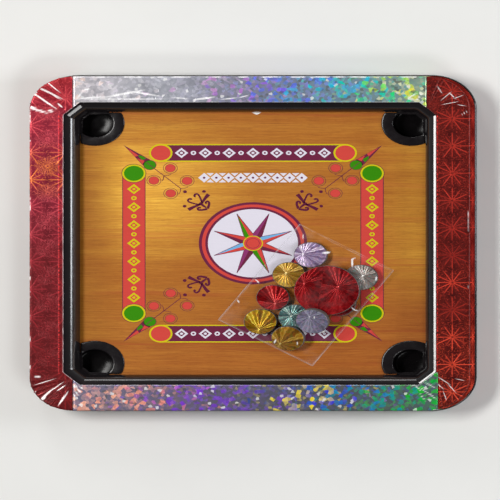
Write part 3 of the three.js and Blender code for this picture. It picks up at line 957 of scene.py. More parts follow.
def outer_edge(value):
    """Half width of the board's outer edge on a line this far from the middle."""
    value = abs(value)
    straight = SIDE_HALF - SIDE_RADIUS
    if value <= straight:
        return SIDE_HALF
    return straight + math.sqrt(SIDE_RADIUS ** 2 - (value - straight) ** 2)


def outward(x, y):
    """Direction square to the outer side wall at a point on it."""
    straight = SIDE_HALF - SIDE_RADIUS
    dx = max(abs(x) - straight, 0.0) * math.copysign(1, x)
    dy = max(abs(y) - straight, 0.0) * math.copysign(1, y)
    length = math.hypot(dx, dy)
    return dx / length, dy / length


def inner_edge(value):
    """Half width of the rim's inner edge on a line this far from the middle."""
    straight = RIM_INNER_HALF - RIM_CHAMFER
    return RIM_INNER_HALF - max(abs(value) - straight, 0.0)


def steps_between(start, end):
    """Evenly spaced places from start to end, about one rib's spacing apart."""
    count = max(2, round(abs(end - start) / RIB_SPACING))
    return [start + (end - start) * k / count for k in range(count + 1)]


def fan(inner_a, inner_b, corner, start, end, pleats):
    """Ribs round a corner: the inner points close up and the outer ones follow the round edge."""
    straight = SIDE_HALF - SIDE_RADIUS
    ribs = []
    for k in range(1, FAN_RIBS):
        share = k / FAN_RIBS
        angle = start + (end - start) * share
        outer = polar(SIDE_RADIUS, angle, corner[0] * straight, corner[1] * straight)
        inner = (inner_a[0] + (inner_b[0] - inner_a[0]) * share,
                 inner_a[1] + (inner_b[1] - inner_a[1]) * share)
        ribs.append((inner, outer, pleats(share)))
    return ribs


def pleat_pattern(seed, count, depth):
    """Sharp uneven folds: height in millimetres against the share of the corner."""
    chance = random.Random(seed)
    edges = sorted(chance.uniform(0.04, 0.96) for _ in range(count))
    heights = [chance.uniform(0.35, 1.0) * depth for _ in edges]
    widths = [chance.uniform(0.012, 0.034) for _ in edges]

    def height(share):
        total = 0.0
        for edge, tall, width in zip(edges, heights, widths):
            total = max(total, tall * max(0.0, 1 - abs(share - edge) / width))
        return total * min(1.0, 8 * share, 8 * (1 - share))
    return height


def side_ribs(axis, sign, values, least=0.0):
    """Ribs straight across one side of the rim, at the given places along it."""
    ribs = []
    for value in values:
        inner = max(inner_edge(value), least if value > 0 else 0.0) * sign
        outer = outer_edge(value) * sign
        if axis == "x":
            ribs.append(((value, inner), (value, outer), 0.0))
        else:
            ribs.append(((inner, value), (outer, value), 0.0))
    return ribs


def foil(name, node, ribs, material, slot, crease, roughness_mm, scuff_and_glint_cut, inner_highlight, marks):
    """Paper over the rim and down the side wall, one rib of points after another."""
    points = []
    flats = []
    wear_and_glare = []
    bend_end = FOIL_TOP - EDGE_RADIUS
    for inner, outer, pleat in ribs:
        nx, ny = outward(*outer)
        top_x = outer[0] - EDGE_RADIUS * nx
        top_y = outer[1] - EDGE_RADIUS * ny
        for k in range(TOP_STEPS + 1):
            share = k / TOP_STEPS
            x = inner[0] + (top_x - inner[0]) * share
            y = inner[1] + (top_y - inner[1]) * share
            from_inner = math.hypot(x - inner[0], y - inner[1])
            lift = pleat * min(1.0, share * 1.6)
            lift += crease * math.exp(-((from_inner - CREASE_FROM_EDGE) / CREASE_HALF_WIDTH) ** 2)
            lift += roughness_mm * (1 + wobble(x, y, 6.0, 3.3)) * min(1.0, 4 * share)
            points.append((x, y, FOIL_TOP + lift))
            flats.append((x, y))
            # painted highlight along the inner edge, and the listed streaks of painted glare and glints
            # and rubbed folds
            inner_highlight_line = inner_highlight * (1 + wobble(x + y, 0.0, 5.0, 7.7)) if k == 0 else 0.0
            wear_and_glare.append(min(1.0, max(inner_highlight_line, mark_strength(x, y, marks))))
        x, y = outer
        # white scuffs and painted glints along the outer edge
        scuffs_and_glints = wobble(x, y, 9.0, 2.2) + 0.5 * wobble(x, y, 2.0, 5.2)
        for k in range(1, BEND_STEPS + 1):
            angle = math.pi / 2 * k / BEND_STEPS
            out = EDGE_RADIUS * math.sin(angle) + (FOIL_LIFT + pleat * 0.6) * math.sin(angle)
            down = EDGE_RADIUS * (1 - math.cos(angle))
            z = FOIL_TOP - down + pleat * math.cos(angle)
            points.append((top_x + nx * out, top_y + ny * out, z))
            flats.append((top_x + nx * EDGE_RADIUS * angle, top_y + ny * EDGE_RADIUS * angle))
            wear_and_glare.append(min(1.0, max(0.0, (scuffs_and_glints - scuff_and_glint_cut) * 6.0)))
        for k in range(1, SIDE_STEPS + 1):
            share = k / SIDE_STEPS
            z = bend_end - share * (bend_end - FOIL_BOTTOM)
            bulge = FOIL_LIFT + pleat * 0.6 * (1 - share)
            bulge += roughness_mm * (1 + wobble(x + y, z, 7.0, 8.1)) * 0.7
            points.append((x + nx * bulge, y + ny * bulge, z))
            down = FOIL_TOP - z + EDGE_RADIUS * (math.pi / 2 - 1)
            flats.append((x + nx * down, y + ny * down))
            wear_and_glare.append(0.0)
    columns = TOP_STEPS + 1 + BEND_STEPS + SIDE_STEPS
    faces = grid_faces(len(ribs), columns)
    obj = mesh_object(name, points, faces, [material], "board", slot, [node])
    give_uv(obj, flats)
    give_value(obj, "wear_and_glare", wear_and_glare)
    solid = obj.modifiers.new("paper", "SOLIDIFY")
    solid.thickness = FOIL_THICKNESS * MM
    solid.offset = 0.0


def make_foils():
    """The four strips: red round the left and right sides, silver along the far and near ones."""
    near = SEAM_NEAR
    inner_corner = inner_edge(near)
    quarter = math.pi / 2
    straight = SIDE_HALF - SIDE_RADIUS
    near_turn = math.acos((near - straight) / SIDE_RADIUS)
    far_turn = math.acos((SEAM_FAR - straight) / SIDE_RADIUS)
    notch = RIM_INNER_HALF - RIM_CHAMFER

    left = side_ribs("x", 1, [-near])
    left += fan((-near, inner_corner), (-inner_corner, near), (-1, 1),
                2 * quarter - near_turn, quarter + near_turn,
                pleat_pattern(SEED, count=9, depth=0.9))
    left += side_ribs("y", -1, steps_between(near, -near))
    left += fan((-inner_corner, -near), (-near, -inner_corner), (-1, -1),
                3 * quarter - near_turn, 2 * quarter + near_turn,
                pleat_pattern(SEED + 1, count=14, depth=0.8))
    left += side_ribs("x", -1, [-near])
    foil("red_foil_left", "foil_red_left", left, RED_LEFT, "red_foil", crease=0.10,
         roughness_mm=0.035, scuff_and_glint_cut=0.35, inner_highlight=0.5, marks=RED_LEFT_STREAKS)

    right = side_ribs("x", 1, [near])
    right += fan((near, inner_corner), (inner_corner, near), (1, 1),
                 near_turn, quarter - near_turn,
                 pleat_pattern(SEED + 2, count=5, depth=0.22))
    right += side_ribs("y", 1, steps_between(near, -notch))
    right += [((SEAM_FAR, -notch), (SIDE_HALF, -straight), 0.0)]
    right += fan((SEAM_FAR, -notch), (SEAM_FAR, -notch), (1, -1),
                 4 * quarter, 4 * quarter - far_turn,
                 pleat_pattern(SEED + 3, count=5, depth=0.2))
    right += [((SEAM_FAR, -notch), (SEAM_FAR, -outer_edge(SEAM_FAR)), 0.0)]
    foil("red_foil_right", "foil_red_right", right, RED_RIGHT, "red_foil", crease=0.04,
         roughness_mm=0.03, scuff_and_glint_cut=0.9, inner_highlight=0.05, marks=RED_RIGHT_STREAKS)

    start = near - SEAM_GAP
    far_ribs = side_ribs("x", 1, steps_between(-start, start))
    foil("silver_foil_far", "foil_silver_far", far_ribs, SILVER_FAR, "silver_foil", crease=0.05,
         roughness_mm=0.04, scuff_and_glint_cut=0.0, inner_highlight=0.85, marks=SILVER_FAR_STREAKS)
    near_ribs = side_ribs("x", -1, steps_between(-start, SEAM_FAR - SEAM_GAP), notch + SEAM_GAP)
    foil("silver_foil_near", "foil_silver_near", near_ribs, SILVER_NEAR, "silver_foil", crease=0.03,
         roughness_mm=0.03, scuff_and_glint_cut=0.5, inner_highlight=0.5, marks=SILVER_NEAR_STREAKS)


make_foils()


# ------------------------------------------------------------------ pockets and screws

def pocket_reach(angle, cx, cy):
    """How far the flange reaches from the pocket's middle: to its edge or the foot of the wall."""
    limit = WALL_FOOT_HALF - 0.35
    leg = cut_leg(limit)
    dx = math.cos(angle)
    dy = math.sin(angle)
    reach = POCKET_FLANGE_RADIUS
    walls = [((math.copysign(1, cx), 0.0), limit), ((0.0, math.copysign(1, cy)), limit)]
    diagonal = math.sqrt(0.5)
    walls.append(((math.copysign(diagonal, cx), math.copysign(diagonal, cy)),
                  (2 * limit - leg) * diagonal))
    for (nx, ny), distance in walls:
        facing = dx * nx + dy * ny
        if facing > 1e-6:
            reach = min(reach, (distance - cx * nx - cy * ny) / facing)
    return reach


POCKET_SEGMENTS = 120


def make_pocket(name, sx, sy):
    """A cup: a tube through the board with a floor, and a flange on the playing surface."""
    centre = (sx * POCKET_CENTRE, sy * POCKET_CENTRE)
    top = PLAY_Z + POCKET_FLANGE
    hole = POCKET_HOLE_RADIUS
    floor = POCKET_BOTTOM + POCKET_FLOOR
    outside = [
        (POCKET_TUBE_RADIUS - 1.0, POCKET_BOTTOM), (POCKET_TUBE_RADIUS - 0.3, POCKET_BOTTOM + 0.3),
        (POCKET_TUBE_RADIUS, POCKET_BOTTOM + 1.0), (POCKET_TUBE_RADIUS, PLAY_Z + 0.02),
    ]
    flange = [(0.0, 0.02), (0.0, 0.45), (-0.25, 0.8), (-0.7, 0.96), (-1.6, 1.0)]
    inside = [
        (hole + 1.2, top - 0.02), (hole + 0.5, top - 0.12), (hole + 0.12, top - 0.4), (hole, top - 0.8),
        (hole, floor + 1.6), (hole - 0.4, floor + 0.7), (hole - 1.4, floor + 0.1), (3.0, floor - 0.1),
    ]
    angles = around(POCKET_SEGMENTS)
    points = [(*centre, POCKET_BOTTOM)]
    points += [(*polar(radius, angle, *centre), z) for radius, z in outside for angle in angles]
    for out, up in flange:
        for angle in angles:
            reach = max(pocket_reach(angle, *centre) + out, POCKET_TUBE_RADIUS - 4.0 + out)
            ripple = 0.04 * wobble(*polar(reach, angle), 5.0, sx + 2 * sy)
            points.append((*polar(reach, angle, *centre), PLAY_Z + up * POCKET_FLANGE + ripple))
    for radius, z in inside:
        for angle in angles:
            widened = radius > hole + 1
            reach = min(radius, pocket_reach(angle, *centre) - 1.7) if widened else radius
            points.append((*polar(reach, angle, *centre), z))
    points.append((*centre, floor - 0.1))
    faces = round_faces(len(outside) + len(flange) + len(inside), POCKET_SEGMENTS)
    obj = mesh_object(f"{name}_cup", points, faces, [CUP_BLACK], "board", "black_plastic", [name])
    keep_creases(obj, 50)


RECESS_DEPTH = 1.2
RECESS_HALF_LENGTH = 1.75
RECESS_HALF_WIDTH = 0.38
BOX_FACES = ((3, 2, 1, 0), (4, 5, 6, 7), (0, 1, 5, 4), (1, 2, 6, 5), (2, 3, 7, 6), (3, 0, 4, 7))


def cross_recess(x, y):
    """A tapered cross to be cut out of a screw head."""
    bars = []
    for turn in (0.0, math.pi / 2):
        points = []
        for z, grow in ((SCREW_HEAD_BOTTOM - 0.4, 1.0), (SCREW_HEAD_BOTTOM + RECESS_DEPTH, 0.55)):
            along = RECESS_HALF_LENGTH * grow
            across = RECESS_HALF_WIDTH * grow
            for sx, sy in ((-1, -1), (1, -1), (1, 1), (-1, 1)):
                px, py = rotated(sx * along, sy * across, turn)
                points.append((x + px, y + py, z))
        bars.append((points, BOX_FACES))
    return joined(bars)


def cut_out(obj, points, faces):
    """Cuts a shape out of an object for good."""
    mesh = bpy.data.meshes.new("recess")
    mesh.from_pydata([tuple(c * MM for c in p) for p in points], [], faces)
    cutter = link(bpy.data.objects.new("recess", mesh))
    cut = obj.modifiers.new("recess", "BOOLEAN")
    cut.operation = "DIFFERENCE"
    cut.solver = "EXACT"
    cut.use_self = True
    cut.object = cutter
    bpy.context.view_layer.update()
    result = bpy.data.meshes.new_from_object(obj.evaluated_get(bpy.context.evaluated_depsgraph_get()))
    obj.modifiers.clear()
    obj.data = result
    bpy.data.objects.remove(cutter)


SHANK_RADIUS = 1.35
THREAD_ROOT = 1.02
THREAD_PITCH = 1.1
SHANK_LENGTH = 12.0


def make_screws():
    """Pan-head screws with a cross recess; they sit on the panel's underside."""
    seat = PANEL_TOP - 3.0
    head = SCREW_HEAD_BOTTOM
    profile = [
        (0.0, head), (1.6, head + 0.04), (2.4, head + 0.22), (2.95, head + 0.6), (3.18, head + 1.1),
        (3.2, seat - 0.1), (3.1, seat), (SHANK_RADIUS, seat),
    ]
    z = seat
    while z < head + SHANK_LENGTH:
        profile += [(SHANK_RADIUS, z + 0.3), (THREAD_ROOT, z + 0.65), (THREAD_ROOT, z + 0.75),
                    (SHANK_RADIUS, z + THREAD_PITCH)]
        z += THREAD_PITCH
    profile += [(0.5, head + 13.4), (0.0, head + 13.8)]
    for index in range(1, 9):
        node = f"panel_screw_{index}"
        low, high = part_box(node)
        x = (low.x + high.x) / 2 / MM
        y = (low.y + high.y) / 2 / MM
        points, faces = turned(profile, 40, (x, y))
        obj = mesh_object(f"screw_{index}", points, faces, [ZINC], "board", "screw_steel", [node])
        cut_out(obj, *cross_recess(x, y))
        keep_creases(obj, 35)


CORNERS = {"far_left": (-1, 1), "far_right": (1, 1), "near_left": (-1, -1), "near_right": (1, -1)}
for corner, signs in CORNERS.items():
    make_pocket(f"pocket_{corner}", *signs)
make_screws()


def repaint(node, material):
    """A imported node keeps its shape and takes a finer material."""
    obj = frame["nodes"][node]
    if not obj.material_slots:
        obj.data.materials.append(material)
    for holder in obj.material_slots:
        holder.material = material


repaint("printed_sheet", WOOD)
repaint("hardboard_panel", HARDBOARD)


# ------------------------------------------------------------------ printed markings

class Artwork:
    """Printed shapes, each a very thin closed prism; later ones lie a little higher."""

    STEP = 0.012
    BASE = PLAY_Z + 0.02

    def __init__(self, names):
        self.names = names
        self.points = []
        self.faces = []
        self.indices = []

    def prism(self, outline, colour, level, quarter_turns=0):
        """A filled outline, turned about the board's middle by quarters."""
        base = len(self.points)
        count = len(outline)
        placed = [rotated(x, y, math.pi / 2 * quarter_turns) for x, y in outline]
        for z in (self.BASE - 0.015, self.BASE + self.STEP * (level + 1)):
            self.points += [(x, y, z) for x, y in placed]
        new_faces = [tuple(base + count + k for k in range(count)),
                     tuple(base + k for k in reversed(range(count)))]
        for k in range(count):
            after = (k + 1) % count
            new_faces.append((base + k, base + after, base + count + after, base + count + k))
        self.faces += new_faces
        self.indices += [self.names.index(colour)] * len(new_faces)

    def circle(self, x, y, radius, colour, level, sides=48, **turned_by):
        """A filled circle."""
        self.prism([polar(radius, angle, x, y) for angle in around(sides)], colour, level, **turned_by)

    def stroke(self, line, width, colour, level, **turned_by):
        """A line of points drawn with a pen of this width; width may be one number per point."""
        left = []
        right = []
        for k, (x, y) in enumerate(line):
            before = line[max(k - 1, 0)]
            after = line[min(k + 1, len(line) - 1)]
            dx = after[0] - before[0]
            dy = after[1] - before[1]
            length = math.hypot(dx, dy)
            half = (width[k] if isinstance(width, list) else width) / 2
            left.append((x - dy / length * half, y + dx / length * half))
            right.append((x + dy / length * half, y - dx / length * half))
        for k in range(len(line) - 1):
            self.prism([left[k], right[k], right[k + 1], left[k + 1]], colour, level, **turned_by)

    def ring(self, x, y, radius, width, colour, level, **turned_by):
        """A circle drawn with a pen."""
        line = [polar(radius, math.pi * k / 20, x, y) for k in range(41)]
        self.stroke(line, width, colour, level, **turned_by)

    def build(self):
        """Makes one piece of everything drawn so far."""
        materials = [INKS[name] for name in self.names]
        mesh_object("printed_markings", self.points, self.faces, materials, "board", "wood_print",
                    smooth=False, indices=self.indices)


def arc_points(x, y, radius, start, end, count=14):
    """Points from one angle in degrees to another round (x, y)."""
    angles = [math.radians(start + (end - start) * k / count) for k in range(count + 1)]
    return [polar(radius, angle, x, y) for angle in angles]


def capsule(half_length, y, half_height):
    """Outline of a band with round ends along X."""
    right = arc_points(half_length, y, half_height, -90, 90)
    left = arc_points(-half_length, y, half_height, 90, 270)
    return right + left


def draw_centre(art):
    """The ringed white circle with its eight-pointed star, each point in two colours."""
    for level, (radius, colour) in enumerate(
            ((37.3, "purple"), (35.2, "red"), (32.8, "purple"), (31.0, "white")), start=1):
        art.circle(0, 0, radius, colour, level, 128)
    tip = 29.0
    valley = 8.6
    eighth = 22.5
    halves = [("red", "blue"), ("purple", "lilac"), ("red", "green"), ("red", "purple"),
              ("blue", "red"), ("lilac", "purple"), ("green", "red"), ("purple", "red")]
    for k, (before, after) in enumerate(halves):
        angle = eighth * (2 * k + 1)
        point = polar(tip, math.radians(angle))
        for side, colour in ((-1, before), (1, after)):
            low = polar(valley, math.radians(angle + side * eighth))
            art.prism([(0.0, 0.0), low, point] if side < 0 else [(0.0, 0.0), point, low], colour, 5)
            art.stroke([low, point], 0.45, "purple", 6)
    art.circle(0, 0, 6.9, "yellow", 7, 48)
    art.circle(0, 0, 6.2, "red", 8, 48)
    art.ring(0, 0, 4.4, 0.3, "purple", 9)


def triangle(x, y, half_width, height):
    """A triangle standing on its flat side at (x, y); a negative height points it down."""
    base = [(x - half_width, y), (x + half_width, y), (x, y + height)]
    return base if height > 0 else base[::-1]


def diamond(x, y, half_width, half_height):
    """A diamond round (x, y)."""
    return [(x - half_width, y), (x, y - half_height), (x + half_width, y), (x, y + half_height)]


BASE_Y = 82.0
BASE_HALF_LENGTH = 63.5
MOTIF_PITCH = 8.2


def draw_base(art, quarter_turns, band, edge, band_half, ends, motif):
    """One base band with its two end circles and a row of diamonds and dots."""
    by = {"quarter_turns": quarter_turns}
    art.prism(capsule(BASE_HALF_LENGTH, BASE_Y, 8.0), edge, 1, **by)
    art.prism(capsule(BASE_HALF_LENGTH, BASE_Y, band_half), band, 2, **by)
    for x in (-BASE_HALF_LENGTH, BASE_HALF_LENGTH):
        for radius, colour, level in ends:
            art.circle(x, BASE_Y, radius, colour, level, **by)
    for k in range(-6, 7):
        x = k * MOTIF_PITCH
        if k % 2:
            art.circle(x, BASE_Y, 1.9, motif, 6, 20, **by)
            art.circle(x, BASE_Y, 0.8, band, 7, 12, **by)
        else:
            art.prism(diamond(x, BASE_Y, 4.6, 4.6), motif, 6, **by)
            art.prism(diamond(x, BASE_Y, 2.6, 2.6), band, 7, **by)
            art.circle(x, BASE_Y, 1.1, motif, 8, 12, **by)


def draw_corner(art, quarter_turns):
    """The diagonal arrow with its dots, drawn for the far left corner and turned."""
    by = {"quarter_turns": quarter_turns}
    diagonal = math.sqrt(0.5)

    def at(along, across):
        """A point by its distance from the middle on the diagonal, and beside it."""
        return (-along * diagonal + across * diagonal, along * diagonal + across * diagonal)

    art.prism([at(126.0, 0), at(103.5, -3.6), at(103.5, 3.6)], "purple", 1, **by)
    art.prism([at(122.5, -0.1), at(113.0, -2.0), at(112.0, 0.6)], "red", 2, **by)
    art.prism([at(110.5, 1.9), at(112.5, 0.4), at(107.5, -0.6), at(106.5, 2.5)], "green", 2, **by)
    art.prism([at(111.0, -1.9), at(104.6, -3.1), at(105.6, 0.2)], "red", 2, **by)
    art.circle(*at(100.4, 0), 4.5, "purple", 1, 32, **by)
    art.circle(*at(100.4, 0), 4.1, "green", 3, 32, **by)
    art.stroke([at(104.0, 0), at(70.2, 0)], 0.5, "purple", 4, **by)
    for along in (87.8, 71.4):
        for side in (-1, 1):
            centre = at(along + 0.7, side * 8.0)
            art.ring(*centre, 4.8, 0.35, "purple", 1, **by)
            art.circle(*centre, 3.65, "purple", 1, 32, **by)
            art.circle(*centre, 3.4, "red", 2, 32, **by)
            bend = [at(along - 1.0 - 2.6 * math.sin(math.pi * t / 8), side * (4.6 * t / 4))
                    for t in range(5)]
            art.stroke(bend, 0.4, "purple", 4, **by)
    draw_scroll(art, at, by)


# The scroll's right half, by distance from the middle along the diagonal and beside it
UPPER_CURL = [(50.2, 0.3), (52.6, 2.3), (55.2, 3.6), (57.3, 4.5), (58.9, 4.4), (59.5, 3.2),
              (59.0, 1.9), (57.8, 1.9)]
LOWER_CURL = [(44.3, 0.2), (45.4, 2.2), (46.4, 3.7), (47.8, 4.9), (49.1, 4.7), (49.3, 3.4),
              (48.1, 2.7)]
LEAF = [(50.4, 0.4), (51.4, 3.0), (52.3, 6.2), (53.0, 9.8)]


def smoothed(points):
    """A smooth curve through the points."""
    steps = 4
    padded = [Vector(p) for p in (points[0], *points, points[-1])]
    curve = []
    for before, start, end, after in zip(padded, padded[1:], padded[2:], padded[3:]):
        for k in range(steps):
            t = k / steps
            bend = 2 * before - 5 * start + 4 * end - after
            twist = 3 * start - before - 3 * end + after
            curve.append(start + 0.5 * ((end - before) * t + bend * t ** 2 + twist * t ** 3))
    return curve + [Vector(points[-1])]


def draw_scroll(art, at, by):
    """A small mirrored scroll with three dots, inside the arrow's end."""
    for side in (-1, 1):
        for points, thin, thick in ((UPPER_CURL, 1.1, 1.5), (LOWER_CURL, 1.8, 1.35), (LEAF, 1.2, 2.8)):
            curve = smoothed(points)
            widths = [thin + (thick - thin) * k / (len(curve) - 1) for k in range(len(curve))]
            line = [at(along, side * across) for along, across in curve]
            art.stroke(line, widths, "dark", 5, **by)
        art.circle(*at(57.1, side * 9.4), 1.25, "dark", 5, 16, **by)
    art.stroke([at(52.0, 0), at(49.0, 0), at(45.6, 0)], [1.3, 1.8, 1.2], "dark", 6, **by)
    art.circle(*at(66.2, 0), 1.3, "dark", 5, 16, **by)


ROW_Y = 59.5
ROW_PITCH = 8.4


def draw_row(art):
    """The row of white diamonds with triangles between them, on the far side of the middle."""
    for k in range(-4, 5):
        art.prism(diamond(k * ROW_PITCH, ROW_Y, 4.1, 4.4), "white", 1)
        art.circle(k * ROW_PITCH, ROW_Y, 0.9, "purple", 2, 16)
    for k in range(-4, 4):
        for side in (-1, 1):
            between = triangle(k * ROW_PITCH + ROW_PITCH / 2, ROW_Y + side * 4.2, 2.6, -side * 2.8)
            art.prism(between, "white", 1)


YELLOW_END = ((8.1, "yellow", 4), (6.8, "red", 5))
GREEN_END = ((8.5, "purple", 3), (8.1, "yellow", 4), (6.8, "green", 5))
TORN_EDGE = [(-0.9, 118.7), (0.9, 117.6), (2.5, 116.7), (4.0, 117.4), (5.6, 118.7)]


def make_artwork():
    """Everything printed on the sheet over the wood, and the torn spot at its far edge."""
    art = Artwork(list(INKS))
    draw_centre(art)
    for quarter_turns in (0, 2):
        draw_base(art, quarter_turns, band="purple", edge="yellow", band_half=7.0, ends=YELLOW_END,
                  motif="white")
    for quarter_turns in (1, 3):
        draw_base(art, quarter_turns, band="red", edge="purple", band_half=7.5, ends=GREEN_END,
                  motif="yellow")
    for quarter_turns in range(4):
        draw_corner(art, quarter_turns)
    draw_row(art)
    art.prism(TORN_EDGE, "paper", 1)
    art.build()


make_artwork()


# ------------------------------------------------------------------ playing pieces

SILVER_LILAC = tones((0.00, 96, 74, 112), (0.35, 160, 136, 168), (0.65, 204, 190, 210),
                     (1.00, 250, 246, 252))
SILVER_GREY = tones((0.00, 98, 86, 78), (0.40, 134, 120, 112), (0.72, 180, 170, 164),
                    (1.00, 244, 242, 240))
SILVER_TEAL = tones((0.00, 34, 48, 54), (0.38, 72, 112, 110), (0.70, 136, 172, 160),
                    (1.00, 230, 238, 226))
SILVER_VIOLET = tones((0.00, 92, 90, 104), (0.40, 124, 122, 140), (0.72, 154, 156, 174),
                      (1.00, 230, 230, 242))
GOLD_PALE = tones((0.00, 122, 84, 26), (0.40, 176, 132, 44), (0.70, 208, 168, 84),
                  (1.00, 246, 226, 160))
GOLD_GREEN = tones((0.00, 84, 52, 6), (0.38, 148, 102, 10), (0.68, 184, 148, 22),
                   (1.00, 240, 226, 110))
GOLD_BROWN = tones((0.00, 88, 54, 14), (0.42, 152, 104, 32), (0.72, 198, 152, 56),
                   (1.00, 244, 218, 136))
RED_BRIGHT = tones((0.00, 84, 8, 12), (0.40, 134, 16, 20), (0.70, 176, 34, 36),
                   (1.00, 240, 120, 112))
RED_DARK = tones((0.00, 84, 7, 12), (0.42, 116, 11, 16), (0.74, 146, 22, 26),
                 (1.00, 236, 92, 92))
PINK_AND_BLUE = [linear(196, 150, 190), linear(140, 138, 196)]
GREEN_AND_AMBER = [linear(122, 128, 24), linear(176, 92, 18)]
CYAN_AND_ROSE = [linear(96, 158, 160), linear(150, 120, 132)]
WINE_AND_SCARLET = [linear(92, 8, 16), linear(158, 22, 25)]
# Each piece: the centre of its underside, the middle of each star on its face, the number of rays
# round it, how crumpled the foil is and its shades, and how a leaning piece leans
PIECES = {
    "silver_disc_1": {
        "at": (40.4, -10.4, BOTTOM_Z), "stars": [(-5.0, 1.0)], "rays": 26, "crumple": 0.05,
        "shades": SILVER_LILAC, "tints": PINK_AND_BLUE,
    },
    "gold_disc_1": {
        "at": (25.6, -28.5, BOTTOM_Z), "stars": [(-2.0, 1.5)], "rays": 24, "crumple": 0.05,
        "shades": GOLD_PALE, "tints": GREEN_AND_AMBER,
    },
    "silver_disc_2": {
        "at": (75.0, -30.9, BOTTOM_Z), "stars": [(1.5, 1.5)], "rays": 24, "crumple": 0.04,
        "shades": SILVER_GREY, "tints": CYAN_AND_ROSE,
    },
    "red_disc_1": {
        "at": (14.5, -49.1, BOTTOM_Z), "stars": [(1.6, -5.5)], "rays": 26, "crumple": 0.06,
        "shades": RED_BRIGHT, "tints": WINE_AND_SCARLET,
    },
    "red_disc_2": {
        "at": (60.0, -54.5, BOTTOM_Z), "stars": [(2.0, -3.0)], "rays": 24, "crumple": 0.05,
        "shades": RED_DARK, "tints": WINE_AND_SCARLET,
    },
    "silver_disc_3": {
        "at": (29.7, -66.9, BOTTOM_Z), "stars": [(-2.5, 1.0)], "rays": 22, "crumple": 0.09,
        "shades": SILVER_TEAL, "tints": CYAN_AND_ROSE,
    },
    "gold_disc_2": {
        "at": (5.9, -70.9, BOTTOM_Z), "stars": [(-1.0, -7.4)], "rays": 24, "crumple": 0.06,
        "shades": GOLD_GREEN, "tints": GREEN_AND_AMBER,
    },
    "striker": {
        "at": (52.6, -42.6, SECOND_Z), "stars": [(-15.5, 6.5), (8.0, 3.4)], "rays": 26, "crumple": 0.03,
        "shades": RED_DARK, "tints": WINE_AND_SCARLET,
    },
    "silver_disc_4": {
        "at": (43.4, -69.3, BOTTOM_Z + 8.9), "stars": [(-1.4, 4.7)], "rays": 24, "crumple": 0.04,
        "shades": SILVER_VIOLET, "tints": PINK_AND_BLUE,
        "tilt": 19.5, "towards": 71.5,
    },
    "gold_disc_3": {
        "at": (25.5, -85.2, BOTTOM_Z + 3.1), "stars": [(-5.5, -4.8)], "rays": 22, "crumple": 0.07,
        "shades": GOLD_BROWN, "tints": GREEN_AND_AMBER,
        "tilt": 15.0, "towards": 77.0,
    },
}


STAMP_DEPTH = 0.17
RELIEF_SHARE = 0.75
FACE_LIFT = 0.17
FACE_GLUE = 0.03
FOOT_FLARE = 1.006  # the foil widens a little where it meets the plastic
FACE_RING_WIDTH = 0.27
DISC_SEGMENTS = 168
STRIKER_SEGMENTS = 300


def piece_size(name):
    """Radius and thickness."""
    if name == "striker":
        return STRIKER_RADIUS, STRIKER_THICKNESS
    return DISC_RADIUS, DISC_THICKNESS


def lean(piece):
    """The turn of a piece about the middle of its underside, and its place, in millimetres."""
    axis_angle = math.radians(piece.get("towards", 0.0) + 90)
    axis = Vector((math.cos(axis_angle), math.sin(axis_angle), 0.0))
    turn = Matrix.Rotation(-math.radians(piece.get("tilt", 0.0)), 4, axis)
    return Matrix.Translation(Vector(piece["at"])) @ turn


def slot_of(name):
    """The material slot of a piece's foil."""
    for word, slot in (("silver", "silver_foil"), ("gold", "gold_foil")):
        if name.startswith(word):
            return slot
    return "red_foil"


def make_body(name, piece):
    """The moulded disc with round edges."""
    radius, thickness = piece_size(name)
    step = radius - FACE_MARGIN
    lower = [(0.0, 0.0), (step, 0.0), (radius - 0.45, 0.0), (radius - 0.2, 0.06),
             (radius - 0.05, 0.2), (radius, 0.45)]
    upper = [(r, thickness - z) for r, z in reversed(lower)]
    points, faces = turned(lower + upper, 96)
    place = lean(piece)
    placed = [tuple(place @ Vector(p)) for p in points]
    obj = mesh_object(f"{name}_disc", placed, faces, [DISC_PLASTIC], name, "disc_plastic", [name])
    keep_creases(obj, 50)


def face_height(x, y, piece, radius, seed):
    """Height of the stamped foil, with wedges round the nearest star and some crumpling, and the
    point's place from that star."""
    star = min(piece["stars"], key=lambda s: math.hypot(x - s[0], y - s[1]))
    dx = x - star[0]
    dy = y - star[1]
    away = math.hypot(dx, dy)
    turn = math.atan2(dy, dx) * piece["rays"] / (2 * math.pi) + 100
    wedge = abs(turn % 1 - 0.5) * 2
    stamped = STAMP_DEPTH * (wedge - 0.5) * min(1.0, away / 3.0)
    crumpled = piece["crumple"] * (wobble(x, y, 3.2, seed) + 0.6 * wobble(x, y, 1.4, seed + 9))
    edge = min(1.0, (radius - math.hypot(x, y)) / 0.8)
    return (stamped + crumpled) * max(0.0, edge), (dx, dy)


